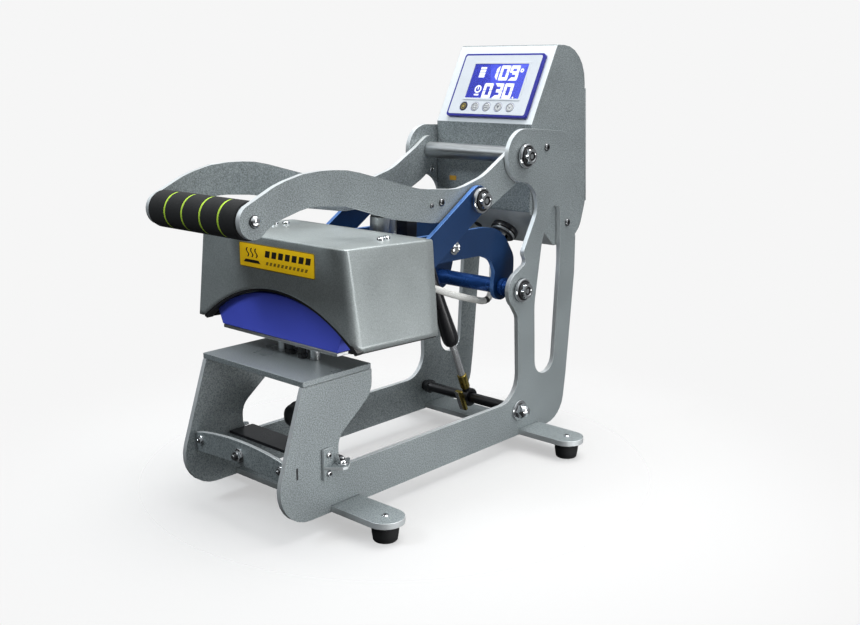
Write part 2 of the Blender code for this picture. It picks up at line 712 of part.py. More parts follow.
def head_turned(profile, axis, place, sides):
    bm = bmesh.new()
    verts = [bm.verts.new((r * MM, 0.0, h * MM)) for r, h in profile]
    for a, b in zip(verts, verts[1:]):
        bm.edges.new((a, b))
    if min(profile[0][0], profile[-1][0]) > 0.0:
        bm.edges.new((verts[-1], verts[0]))
    obj = from_bmesh(bm, "turned")
    screw = obj.modifiers.new("Turn", "SCREW")
    screw.steps = sides
    screw.render_steps = sides
    screw.use_merge_vertices = True
    screw.merge_threshold = 1e-6
    obj.rotation_euler = Vector(axis).to_track_quat("Z", "Y").to_euler()
    obj.location = Vector(place) * MM
    return obj


def hook_outline():
    """The flat bar that leaves the cover and hooks down round the head pivot, in head axes."""
    front = [(-240, 58.5), (-240, 43), (-181, 43, 4), (-176, 31.4, 4)]
    corners = [(231, 196.5, 14), (249, 190, 14), (256, 176, 10), (253.5, 166)]
    lobe = arc(*HEAD_PIVOT, 14.0, 165.0, 340.0, 12)
    back = [(287, 172, 30), (287, 190, 16), (266, 221, 40), (236, 225, 30)]
    moved = [(*head_axes(p), *p[2:]) for p in (*corners, *lobe, *back)]
    return fillet([*front, *moved])


def link_end():
    """The lower pin of the link, from its upper pin."""
    return (LINK_PIN[0] + LINK_LENGTH * math.cos(LINK_SLOPE),
            LINK_PIN[1] + LINK_LENGTH * math.sin(LINK_SLOPE))


# ---------------------------------------------------------------- handle and links
def arm_outline():
    top = [(-50, 291, 60), (-20, 300.5, 120), (30, 299.5, 120), (72, 288, 60), (120, 275, 120),
           (175, 270.5, 60), (212, 280, 60), (246, 299, 60)]
    end = arc(*HANDLE_PIVOT, 15.0, 115.0, -60.0, 12)
    low = [(262, 268, 40), (222, 249, 30), (205, 243.5, 20), (140, 241.5, 60), (88, 250, 60),
           (30, 268, 80), (-14, 272, 60), (-56, 261, 40)]
    nose = arc(*GRIP, 14.5, -60.0, -236.0, 14)
    return fillet([*top, *end, *low, *nose])


def build_handle(handle):
    outline = arm_outline()
    for side in (-1, 1):
        holes = [circle(*HANDLE_PIVOT, PIN_R + GAP), circle(*LINK_PIN, 5.0 + GAP, 16),
                 circle(*GRIP, 3.0 + GAP, 12)]
        side_sheet(sided("handle_arm", side), [outline, *holes], side * (ARM_OUT - 2.5), 5.0,
                   handle, "painted_steel")
    inner = ARM_OUT - 5.0 - GAP
    tube = [(PIN_R + GAP + 0.2, inner), (8.6, inner), (8.6, -inner), (PIN_R + GAP + 0.2, -inner)]
    turned("torque_tube", tube, (1, 0, 0), (0, *HANDLE_PIVOT), handle, "bright_steel", 20)
    rod = [(0, ARM_OUT + 3.5), (4.6, ARM_OUT + 3.2), (5.4, ARM_OUT + GAP), (3, ARM_OUT + GAP),
           (3, -ARM_OUT - GAP), (5.4, -ARM_OUT - GAP), (4.6, -ARM_OUT - 3.2),
           (0, -ARM_OUT - 3.5)]
    turned("grip_rod", rod, (1, 0, 0), (0, *GRIP), handle, "bright_steel", 14)
    foam = [(3.4, inner), (GRIP_R - 0.8, inner), (GRIP_R, inner - 1.5), (GRIP_R, -inner + 1.5),
            (GRIP_R - 0.8, -inner), (3.4, -inner)]
    turned("foam_grip", foam, (1, 0, 0), (0, *GRIP), handle, "foam", 24)


def build_links(links):
    far = link_end()
    along = math.degrees(LINK_SLOPE)
    outline = [*arc(*LINK_PIN, 14.0, along - 270, along - 90, 14),
               *arc(*far, 14.0, along - 90, along + 90, 14)]
    for side in (-1, 1):
        side_sheet(sided("link", side), [outline, circle(*LINK_PIN, 5.0 + GAP, 16),
                    circle(*far, 4.0 + GAP, 16)], side * 68.6, 4.8, links, "blued_steel")
        pin = [(0, 79.0), (2.6, 79.0), (2.6, 81.5), (6.2, 81.5), (7.8, 79.8), (7.8, 75.5),
               (12.4, 75.5), (12.4, 71.3), (5, 71.3), (5, 58.6), (0, 58.6)]
        turned(sided("link_pin", side), pin, (side, 0, 0), (0, *LINK_PIN), links,
               "bright_steel", 20)


# ---------------------------------------------------------------- gas spring
def spring_axis():
    low, high = Vector((0, *SPRING_FOOT)), Vector((0, *SPRING_PIN))
    return (high - low).normalized(), (high - low).length


def build_gas_spring(cylinder, rod):
    axis, length = spring_axis()
    body = [(0, 6.5), (5, 6.5), (5, -1), (9, -3), (9, -124), (8, -126), (5.4, -126),
            (5.4, -40), (0, -40)]
    tube = turned("gas_cylinder", body, axis, (0, *SPRING_PIN), cylinder, "black_steel", 20)
    cut(tube, [cutter_rod(4.0 + GAP, 60.0, (1, 0, 0), (0, *SPRING_PIN), cylinder)])
    stem = [(0, length - 60), (4, length - 60), (4, 28), (5.2, 27), (5.2, 9.0), (7.6, 6.0),
            (7.6, -8.0), (5, -8.6), (0, -8.6)]
    foot = turned("gas_rod", stem, axis, (0, *SPRING_FOOT), rod, "bright_steel", 20)
    cut(foot, [cutter_rod(6.0 + GAP, 40.0, (1, 0, 0), (0, *SPRING_FOOT), rod, 24)])


# ---------------------------------------------------------------- heater lead
LEAD_ROUTE = ((17.0, 86.5, 197.0), (17.0, 100.0, 196.5), (16.5, 128.0, 190.0),
              (16.0, 160.0, 178.5), (15.0, 196.0, 163.5), (15.0, 222.0, 153.5),
              (14.0, 245.0, 146.0), (13.5, 262.0, 141.0), (13.0, 275.0, 137.5),
              (13.0, 284.0, 138.5), (13.0, 290.0, 146.0), (13.0, 291.5, 157.0),
              (13.0, 291.5, 170.0), (13.0, 293.5, 183.0), (13.0, 298.0, 194.0),
              (12.8, 303.0, 201.2), (12.7, 306.8, 205.6), (12.7, 310.8, 210.0),
              (12.7, 314.2, 213.7))
LEAD_R = 3.5


def smooth_route(points, parts=4):
    """Catmull-Rom points through the route."""
    route = [Vector(p) for p in points]
    line = [route[0] * 2 - route[1], *route, route[-1] * 2 - route[-2]]
    made = []
    for a, b, c, d in zip(line, line[1:], line[2:], line[3:]):
        for i in range(parts):
            t = i / parts
            made.append(0.5 * (2 * b + (c - a) * t + (2 * a - 5 * b + 4 * c - d) * t ** 2
                               + (3 * b - a - 3 * c + d) * t ** 3))
    return [*made, route[-1]]


def build_lead(frame):
    data = bpy.data.curves.new("heater_lead", "CURVE")
    data.dimensions = "3D"
    data.bevel_depth = LEAD_R * MM
    data.bevel_resolution = 2
    data.use_fill_caps = True
    route = smooth_route(LEAD_ROUTE)
    spline = data.splines.new("POLY")
    spline.points.add(len(route) - 1)
    for point, place in zip(spline.points, route):
        point.co = (*(place * MM), 1.0)
    put(bpy.data.objects.new("heater_lead", data), "heater_lead", frame, "sleeve")


# ---------------------------------------------------------------- assembly
clear_scene()
PARTS = collection("cap_heat_press")
CUTTERS = collection("cutters")
FRAME = empty("frame_datum")
HEAD = empty("head_joint", *HEAD_PIVOT, FRAME)
HANDLE = empty("handle_joint", *HANDLE_PIVOT, FRAME)
LINKS = empty("link_joint", *LINK_PIN, HANDLE)
CYLINDER = empty("gas_cylinder_joint", *SPRING_PIN, FRAME)
ROD = empty("gas_rod_joint", *SPRING_FOOT, FRAME)
KNOB = empty("pressure_knob_joint", SCREW_Y, 0.0, FRAME)
PLATEN = empty("lower_platen_joint", 0.0, 0.0, FRAME)

build_side_plates(FRAME)
build_base(FRAME)
build_shelf(FRAME)
build_cross_members(FRAME)
build_lower_shaft(FRAME)
build_pivot_bolts(FRAME)
build_control_box(FRAME)
build_back(FRAME)
build_display(FRAME)
build_box_fittings(FRAME)
build_lower_platen(PLATEN)
build_knob(KNOB)
build_head(HEAD)
HEAD.rotation_euler = (-HEAD_LEAN, 0.0, 0.0)
build_handle(HANDLE)
build_links(LINKS)
build_gas_spring(CYLINDER, ROD)
build_lead(FRAME)
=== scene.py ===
"""Looks of the auto-opening cap heat press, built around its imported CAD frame.

Lengths in this file are millimetres from the datum: X from the middle of the press, Y from
the front edge of the front foot bar, Z from the lower edge of the side plates.
"""
import json
import math

import bmesh
import bpy
from mathutils import Matrix, Vector

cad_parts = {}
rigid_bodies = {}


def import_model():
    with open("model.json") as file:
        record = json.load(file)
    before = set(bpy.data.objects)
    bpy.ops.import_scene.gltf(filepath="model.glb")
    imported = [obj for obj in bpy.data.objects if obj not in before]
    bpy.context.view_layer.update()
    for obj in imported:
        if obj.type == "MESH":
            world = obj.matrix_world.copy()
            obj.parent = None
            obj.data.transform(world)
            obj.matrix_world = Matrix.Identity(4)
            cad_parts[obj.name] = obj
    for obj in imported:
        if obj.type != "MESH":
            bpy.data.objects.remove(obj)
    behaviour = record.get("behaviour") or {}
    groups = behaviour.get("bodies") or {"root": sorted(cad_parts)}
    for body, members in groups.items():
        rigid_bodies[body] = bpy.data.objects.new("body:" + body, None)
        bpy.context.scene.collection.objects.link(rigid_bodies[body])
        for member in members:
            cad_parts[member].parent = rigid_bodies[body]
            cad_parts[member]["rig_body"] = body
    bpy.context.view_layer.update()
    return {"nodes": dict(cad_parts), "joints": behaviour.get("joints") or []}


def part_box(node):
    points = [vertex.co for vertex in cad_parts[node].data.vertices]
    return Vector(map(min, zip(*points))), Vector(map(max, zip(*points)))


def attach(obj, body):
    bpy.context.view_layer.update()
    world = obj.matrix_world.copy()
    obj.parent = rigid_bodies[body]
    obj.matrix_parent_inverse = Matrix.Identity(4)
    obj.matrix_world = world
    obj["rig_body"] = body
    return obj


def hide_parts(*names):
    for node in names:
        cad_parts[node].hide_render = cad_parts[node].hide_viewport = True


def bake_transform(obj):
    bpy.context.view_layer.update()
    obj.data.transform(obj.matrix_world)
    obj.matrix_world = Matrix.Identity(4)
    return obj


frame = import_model()
NODES = frame["nodes"]
JOINTS = {joint["name"]: joint for joint in frame["joints"]}
MM = 0.001

# ---------------------------------------------------------------- places, from the frame
FRONT_BAR_Y = 15.5             # middle of the front foot bar
REAR_BAR_Y = 287.0
BAR_LOW, BAR_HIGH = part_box("front_foot_bar")
DATUM = Vector((0.0, (BAR_LOW.y + BAR_HIGH.y) / 2 - FRONT_BAR_Y * MM, BAR_LOW.z))
PLATE_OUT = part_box("side_plate_right")[1].x / MM
PLATE_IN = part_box("side_plate_right")[0].x / MM
FOOT_X = 119.5
HEAD_LEAN = math.radians(2.3)
PANEL_LEAN = math.radians(27.5)
BAR_TOP = 6.0


def at(x, y, z):
    return DATUM + Vector((x, y, z)) * MM


def pivot(joint, x=0.0):
    return Vector(JOINTS[joint]["pos_m"]) + Vector((x, 0.0, 0.0)) * MM


def axes(place, across, up):
    """A flat drawing's own axes: X across, Y up, Z out of it."""
    across, up = Vector(across).normalized(), Vector(up).normalized()
    out = across.cross(up)
    turn = Matrix((across, up, out)).transposed().to_4x4()
    return Matrix.Translation(place) @ turn


HEAD_AXES = Matrix.Translation(pivot("head_open")) @ Matrix.Rotation(-HEAD_LEAN, 4, "X")
PANEL = axes(at(0.0, 287.3, 326.7), (1, 0, 0), (0, math.sin(PANEL_LEAN), math.cos(PANEL_LEAN)))
LOWER_PANEL = axes(at(0.0, 313.52, 213.0), (1, 0, 0), (0, -43.7, 40.0))
GLAND_X = 12.7
DISPLAY_X, DISPLAY_ALONG = 3.0, 41.6
SPRING_TOP = pivot("gas_cylinder_swing")
SPRING_FOOT = pivot("gas_rod_swing")
LINK_PIN = pivot("link_swing")
HANDLE_PIVOT = pivot("handle_lift")
HEAD_PIVOT = pivot("head_open")
UP = Vector((0, 0, 1))
HEAD_UP = HEAD_AXES.to_3x3() @ UP
SIDES = ((-1, "left"), (1, "right"))


def in_head(x, y, z):
    return HEAD_AXES @ (Vector((x, y, z)) * MM)


# ---------------------------------------------------------------- materials
def node(tree, kind, **values):
    made = tree.nodes.new(kind)
    for key, value in values.items():
        if key in made.inputs:
            made.inputs[key].default_value = value
        else:
            setattr(made, key, value)
    return made


def spread(tree, low, high):
    return node(tree, "ShaderNodeMapRange", **{"To Min": low, "To Max": high})


def ramp(tree, low, high, to_low, to_high):
    """A smooth step from to_low to to_high while the value goes from low to high."""
    made = node(tree, "ShaderNodeMapRange",
                **{"From Min": low, "From Max": high, "To Min": to_low, "To Max": to_high})
    made.interpolation_type = "SMOOTHSTEP"
    return made


def material(name, colour, roughness, metallic=0.0, mottle=0.05, mottle_scale=30.0, grain=0.1,
             grain_scale=1100.0, bump=0.15, stretch=(1.0, 1.0, 1.0), coat=0.0, glow=0.0):
    """A surface with slow mottling, fine grain, uneven roughness and a grain-deep bump."""
    made = bpy.data.materials.new(name)
    made.use_nodes = True
    tree = made.node_tree
    link = tree.links.new
    shader = tree.nodes["Principled BSDF"]
    place = node(tree, "ShaderNodeTexCoord")
    mapping = node(tree, "ShaderNodeMapping", Scale=stretch)
    link(place.outputs["Object"], mapping.inputs["Vector"])
    slow = node(tree, "ShaderNodeTexNoise", Scale=mottle_scale, Detail=3.0)
    fine = node(tree, "ShaderNodeTexNoise", Scale=grain_scale, Detail=4.0, Roughness=0.65)
    for noise in (slow, fine):
        link(mapping.outputs["Vector"], noise.inputs["Vector"])
    slow_share = spread(tree, 1 - 2 * mottle, 1 + 2 * mottle)
    fine_share = spread(tree, 1 - 2 * grain, 1 + 2 * grain)
    link(slow.outputs["Fac"], slow_share.inputs["Value"])
    link(fine.outputs["Fac"], fine_share.inputs["Value"])
    both = node(tree, "ShaderNodeMath", operation="MULTIPLY")
    link(slow_share.outputs["Result"], both.inputs[0])
    link(fine_share.outputs["Result"], both.inputs[1])
    tint = node(tree, "ShaderNodeVectorMath", operation="SCALE")
    tint.inputs[0].default_value = colour
    link(both.outputs["Value"], tint.inputs["Scale"])
    link(tint.outputs["Vector"], shader.inputs["Base Color"])
    rough = spread(tree, max(0.02, roughness - 0.1), roughness + 0.1)
    link(slow.outputs["Fac"], rough.inputs["Value"])
    link(rough.outputs["Result"], shader.inputs["Roughness"])
    shader.inputs["Metallic"].default_value = metallic
    shader.inputs["Coat Weight"].default_value = coat
    if bump:
        height = node(tree, "ShaderNodeBump", Strength=bump, Distance=0.0002)
        link(fine.outputs["Fac"], height.inputs["Height"])
        link(height.outputs["Normal"], shader.inputs["Normal"])
    if glow:
        link(tint.outputs["Vector"], shader.inputs["Emission Color"])
        shader.inputs["Emission Strength"].default_value = glow
    return made


PAINT = material("hammered_silver_paint", (0.245, 0.275, 0.283), 0.44, 0.3, 0.08, 24, 0.75, 900, 0.5)
# Lighter copy of the silver paint for plate rims: a painted highlight along the edges.
EDGE_PAINTED_HIGHLIGHT = material("plate_edge_painted_highlight", (0.66, 0.69, 0.70), 0.36, 0.5, 0.05, 60, 0.12, 1500, 0.1)
COVER = material("cover_sheet_metal", (0.385, 0.42, 0.42), 0.34, 0.5, 0.12, 16, 0.3, 1000, 0.15)
# Lighter copy of the cover sheet for its rims: a painted highlight.
COVER_EDGE_PAINTED_HIGHLIGHT = material("cover_edge_painted_highlight", (0.7, 0.72, 0.72), 0.3, 0.7, 0.03, 50, 0.05, 1300, 0.05)
BLUE = material("blue_enamel_steel", (0.005, 0.034, 0.115), 0.4, 0.3, 0.08, 40, 0.4, 1000, 0.3, coat=0.12)
# Lighter copy of the blue enamel for rims: a painted highlight along the edges.
BLUE_EDGE_PAINTED_HIGHLIGHT = material("blue_enamel_edge_painted_highlight", (0.09, 0.22, 0.55), 0.3, 0.4, 0.08, 60, 0.2, 1300, 0.1)
BLUE_TUBE = material("blue_enamel_tube", (0.02, 0.09, 0.34), 0.26, 0.6, 0.08, 60, 0.2, 1300, 0.1)
CHROME = material("polished_steel", (0.70, 0.71, 0.72), 0.08, 1.0, 0.05, 80, 0.05, 1400, 0.02)
DARK_STEEL = material("dark_zinc_steel", (0.20, 0.205, 0.21), 0.16, 1.0, 0.05, 80, 0.05, 1400, 0.02)
ROD = material("ground_rod", (0.82, 0.83, 0.84), 0.2, 0.75, 0.03, 60, 0.04, 1400, 0.02)
SHELF = material("shelf_sheet_metal", (0.35, 0.38, 0.39), 0.3, 0.35, 0.12, 20, 0.35, 900, 0.2)
BRUSHED = material("brushed_steel", (0.55, 0.565, 0.57), 0.32, 1.0, 0.05, 50, 0.2, 1500, 0.15,
                   stretch=(0.04, 1.0, 1.0))
# Near-black: painted shade in grooves, creases, sockets, slots and holes; also the real black of the power
# button.
PAINTED_SHADE_AND_BLACK = material("painted_gap_shade_and_black_plastic", (0.014, 0.015, 0.017), 0.6, 0.0, 0.05, 60, 0.05, 900, 0.0)
BLACK = material("black_oxide_steel", (0.012, 0.012, 0.014), 0.3, 0.2, 0.1, 50, 0.1, 1100, 0.1, coat=0.3)
KNOB = material("moulded_black_plastic", (0.010, 0.010, 0.011), 0.3, 0.0, 0.1, 50, 0.12, 900, 0.2)
RUBBER = material("black_rubber", (0.003, 0.003, 0.004), 0.7, 0.0, 0.1, 60, 0.15, 900, 0.4)
FOAM = material("black_foam", (0.004, 0.0045, 0.005), 0.9, 0.0, 0.12, 60, 0.6, 600, 1.0)
LIME = material("lime_foam_ring", (0.40, 0.60, 0.035), 0.7, 0.0, 0.1, 80, 0.25, 800, 0.5)
SILICONE = material("blue_silicone_rubber", (0.060, 0.088, 0.60), 0.7, 0.0, 0.04, 25, 0.08, 1200, 0.15)
ALUMINIUM = material("cast_aluminium", (0.5, 0.51, 0.51), 0.36, 0.9, 0.06, 40, 0.16, 900, 0.3)
BRASS = material("brass", (0.55, 0.42, 0.11), 0.25, 1.0, 0.08, 60, 0.05, 900, 0.05)
BOX_WHITE = material("white_panel_paint", (0.74, 0.775, 0.79), 0.35, 0.05, 0.02, 30, 0.04, 1200, 0.08)
# Lighter copy of the box paint for the lower sloping panel: painted bounce light from below.
LOWER_PANEL_PAINTED_BOUNCE_LIGHT = material("lower_panel_painted_bounce_light", (0.55, 0.575, 0.58), 0.34, 0.35, 0.1, 22, 0.12, 1100, 0.1)
BEZEL = material("deep_blue_plastic", (0.004, 0.005, 0.25), 0.35, 0.0, 0.05, 50, 0.04, 1100, 0.05)
FASCIA = material("printed_fascia", (0.60, 0.635, 0.68), 0.4, 0.0, 0.04, 60, 0.06, 900, 0.03)
BUTTON_PRINT = material("button_membrane", (0.58, 0.59, 0.60), 0.4, 0.0, 0.04, 60, 0.06, 900, 0.05)
LCD = material("lit_display", (0.06, 0.08, 0.50), 0.25, 0.0, 0.1, 45, 0.04, 900, 0.0, glow=1.15)
DIGIT = material("display_segments", (0.80, 0.82, 0.88), 0.35, 0.0, 0.02, 30, 0.02, 1100, 0.0, glow=0.35)
PRINT_GREY = material("grey_print", (0.16, 0.17, 0.19), 0.4, 0.0, 0.03, 40, 0.03, 900, 0.0)
# The label glows a little: painted light that brightens the yellow.
LABEL_PAINTED_GLOW = material("yellow_label_painted_glow", (0.93, 0.58, 0.008), 0.45, 0.0, 0.05, 40, 0.05, 1100, 0.03, glow=0.2)
LABEL_RIM = material("label_rim", (0.36, 0.24, 0.02), 0.5, 0.0, 0.05, 40, 0.03, 1100, 0.0)
PRINT_BLACK = material("black_print", (0.02, 0.018, 0.012), 0.5, 0.0, 0.04, 50, 0.03, 900, 0.0)
SLEEVE = material("braided_white_sleeve", (0.72, 0.72, 0.69), 0.8, 0.0, 0.08, 90, 0.2, 900, 0.7)
BOARD = material("circuit_board", (0.01, 0.13, 0.045), 0.4, 0.0, 0.1, 80, 0.05, 900, 0.05)
GASKET = material("black_seal", (0.006, 0.006, 0.007), 0.55, 0.0, 0.1, 60, 0.1, 900, 0.2)
STICKER = material("orange_sticker", (0.50, 0.27, 0.03), 0.45, 0.0, 0.15, 90, 0.05, 900, 0.0)


# ---------------------------------------------------------------- mesh tools
def add(obj):
    bpy.context.scene.collection.objects.link(obj)


def place_piece(name, bm, materials, body, replaces=(), sharp=33.0, bevel=0.0):
    """Make a finished piece from a bmesh already in the frame's own axes."""
    mesh = bpy.data.meshes.new(name)
    bm.to_mesh(mesh)
    bm.free()
    for extra in ("custom_normal", "sharp_edge", "sharp_face"):
        if extra in mesh.attributes:
            mesh.attributes.remove(mesh.attributes[extra])
    obj = bpy.data.objects.new(name, mesh)
    add(obj)
    for each in materials:
        mesh.materials.append(each)
    mesh.shade_smooth()
    mesh.set_sharp_from_angle(angle=math.radians(sharp))
    if bevel:
        edges = obj.modifiers.new("Edges", "BEVEL")
        edges.width = bevel * MM
        edges.segments = 2
        edges.limit_method = "ANGLE"
        edges.angle_limit = math.radians(max(sharp, 38.0))
        edges.harden_normals = True
    if body:
        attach(obj, body)
    if replaces:
        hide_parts(*replaces)
    return obj


def refined(name, materials, bevel=0.5, pick=None):
    """Rebuild a CAD node with rounded edges; pick(normal, centre) gives a face's material."""
    bm = bmesh.new()
    bm.from_mesh(NODES[name].data)
    bmesh.ops.remove_doubles(bm, verts=bm.verts, dist=2e-6)
    bmesh.ops.dissolve_limit(bm, angle_limit=math.radians(0.5), verts=bm.verts, edges=bm.edges)
    for face in bm.faces:
        face.smooth = True
        face.material_index = pick(face.normal, face.calc_center_median()) if pick else 0
    body = NODES[name]["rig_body"]
    return place_piece(f"{name}_finished", bm, materials, body, (name,), bevel=bevel)


def cut_faces(normal, _centre):
    """A flat plate across X: its cut rim takes the second material, a lighter copy that is a painted
    highlight.
    """
    return 0 if abs(normal.x) > 0.7 else 1


def ring_radius(radius, angle, sides):
    """A round ring, a polygon with that many sides, or that many shallow lobes if negative."""
    if sides > 0:
        half = math.pi / sides
        return radius * math.cos(half) / math.cos(angle % (2 * half) - half)
    if sides < 0:
        return radius * (0.965 + 0.035 * math.cos(-sides * angle))
    return radius


def turned(name, rings, axis, place, materials, body, replaces=(), steps=48, dark=(),
           sharp=33.0):
    """A turned piece: rings of (radius, height[, sides]); bands in dark take material 2."""
    bm = bmesh.new()
    loops = []
    for ring in rings:
        radius, height = ring[0], ring[1]
        sides = ring[2] if len(ring) > 2 else 0
        if radius <= 0.0:
            loops.append([bm.verts.new((0.0, 0.0, height * MM))] * steps)
            continue
        loop = []
        for i in range(steps):
            angle = 2 * math.pi * i / steps
            reach = ring_radius(radius, angle, sides) * MM
            loop.append(bm.verts.new((reach * math.cos(angle), reach * math.sin(angle), height * MM)))
        loops.append(loop)
    hollow = rings[0][0] > 0.0 and rings[-1][0] > 0.0
    pairs = list(zip(loops, loops[1:])) + ([(loops[-1], loops[0])] if hollow else [])
    for band, (low, high) in enumerate(pairs):
        for i in range(steps):
            k = (i + 1) % steps
            corners = []
            for vert in (low[i], low[k], high[k], high[i]):
                if vert not in corners:
                    corners.append(vert)
            face = bm.faces.new(corners)
            face.smooth = True
            face.material_index = 1 if band in dark else 0
    bmesh.ops.recalc_face_normals(bm, faces=bm.faces)
    turn = Vector(axis).normalized().to_track_quat("Z", "Y").to_matrix().to_4x4()
    bm.transform(Matrix.Translation(place) @ turn)
    return place_piece(name, bm, materials, body, replaces, sharp)


def outline_mesh(outlines, low, high):
    """Filled outlines, extruded from low to high; an outline inside another is a hole."""
    data = bpy.data.curves.new("outline", "CURVE")
    data.dimensions = "2D"
    data.fill_mode = "BOTH"
    data.extrude = (high - low) / 2 * MM
    for outline in outlines:
        spline = data.splines.new("POLY")
        spline.points.add(len(outline) - 1)
        for point, (u, v) in zip(spline.points, outline):
            point.co = (u * MM, v * MM, 0.0, 1.0)
        spline.use_cyclic_u = True
    obj = bpy.data.objects.new("outline", data)
    add(obj)
    graph = bpy.context.evaluated_depsgraph_get()
    mesh = bpy.data.meshes.new_from_object(obj.evaluated_get(graph))
    bm = bmesh.new()
    bm.from_mesh(mesh)
    bmesh.ops.remove_doubles(bm, verts=bm.verts, dist=1e-6)
    bmesh.ops.dissolve_limit(bm, angle_limit=math.radians(0.5), verts=bm.verts, edges=bm.edges)
    bmesh.ops.translate(bm, vec=(0.0, 0.0, (high + low) / 2 * MM), verts=bm.verts)
    bpy.data.objects.remove(obj, do_unlink=True)
    return bm


def flat(name, outlines, low, high, place, materials, body, replaces=(), bevel=0.0):
    """A flat piece drawn in the axes of place; its rim takes the second material."""
    bm = outline_mesh(outlines, low, high)
    bmesh.ops.recalc_face_normals(bm, faces=bm.faces)
    for face in bm.faces:
        face.smooth = True
        face.material_index = 0 if abs(face.normal.z) > 0.7 or len(materials) < 2 else 1
    bm.transform(place)
    return place_piece(name, bm, materials, body, replaces, bevel=bevel)


def rounded_rect(width, height, radius, centre=(0.0, 0.0)):
    w, h = width / 2 - radius, height / 2 - radius
    steps = 5
    points = []
    for quarter, (cx, cy) in enumerate(((w, h), (-w, h), (-w, -h), (w, -h))):
        for i in range(steps + 1):
            turn = math.radians(90 * (quarter + i / steps))
            points.append((centre[0] + cx + radius * math.cos(turn),
                           centre[1] + cy + radius * math.sin(turn)))
    return points


def disc(radius, centre=(0.0, 0.0), steps=32):
    return [(centre[0] + radius * math.cos(2 * math.pi * i / steps),
             centre[1] + radius * math.sin(2 * math.pi * i / steps)) for i in range(steps)]


def screw(name, place, axis, radius, height, body, steel=CHROME):
    """A dome-headed screw with a hexagon socket, standing on a surface."""
    socket = radius * 0.5
    rings = [(0.0, -0.4), (radius, -0.4), (radius, height * 0.35), (radius * 0.93, height * 0.65),
             (radius * 0.75, height * 0.9), (socket * 1.15, height), (socket, height, 6),
             (socket * 0.95, height * 0.4, 6), (0.0, height * 0.3)]
    # The socket's walls and floor take painted shade.
    return turned(name, rings, axis, place, [steel, PAINTED_SHADE_AND_BLACK], body,
                  steps=36, dark=(6, 7), sharp=50.0)


def hex_nut(name, place, axis, radius, height, body, washer=None, stud=0.0):
    """A hexagon nut on a washer, with the bolt's end showing in it."""
    washer = washer or radius * 1.25
    hole = radius * 0.5
    rings = [(0.0, -0.4), (washer, -0.4), (washer, 0.9), (washer * 0.94, 1.2), (radius * 0.97, 1.2),
             (radius, 1.3, 6), (radius, height - 0.8, 6), (radius * 0.86, height),
             (hole * 1.08, height), (hole, height - 0.4), (hole, height + stud),
             (hole * 0.8, height + stud + 0.4), (0.0, height + stud + 0.4)]
    # The crease at the nut's foot and the wall round the bolt's end take painted shade.
    return turned(name, rings, axis, place, [CHROME, PAINTED_SHADE_AND_BLACK], body, steps=48,
                  dark=(4, 9), sharp=28.0)


# ---------------------------------------------------------------- frame plates and base
def build_frame():
    # Rims of the plates, bars and brace take the painted edge highlight.
    for side in ("left", "right"):
        refined(f"side_plate_{side}", [PAINT, EDGE_PAINTED_HIGHLIGHT], 0.5, cut_faces)
    for name in ("front_foot_bar", "rear_foot_bar"):
        refined(name, [PAINT, EDGE_PAINTED_HIGHLIGHT], 0.6, lambda n, c: 0 if abs(n.z) > 0.7 else 1)
    refined("shelf_plate", [SHELF, PAINT], 0.7, lambda n, c: 0 if n.z > 0.9 else 1)
    refined("front_brace", [PAINT, EDGE_PAINTED_HIGHLIGHT], 0.5, lambda n, c: 0 if abs(n.y) > 0.7 else 1)
    refined("cross_plate", [BLACK], 0.4)
    foot = [(0.0, -0.3), (13.3, -0.3), (13.3, -1.6), (12.9, -2.6), (12.4, -3.2), (11.9, -9.0),
            (10.9, -15.2), (10.2, -16.0), (6.0, -16.0), (5.2, -14.8), (0.0, -14.8)]
    for end, y in (("front", FRONT_BAR_Y), ("rear", REAR_BAR_Y)):
        for side, word in SIDES:
            name = f"{end}_rubber_foot_{word}"
            turned(f"{name}_turned", foot, (0, 0, 1), at(side * FOOT_X, y, 0.0), [RUBBER], "frame",
                   (name,), steps=56)
            screw(f"{end}_foot_screw_{word}", at(side * FOOT_X, y, BAR_TOP), (0, 0, 1), 3.4, 1.2,
                  "frame")


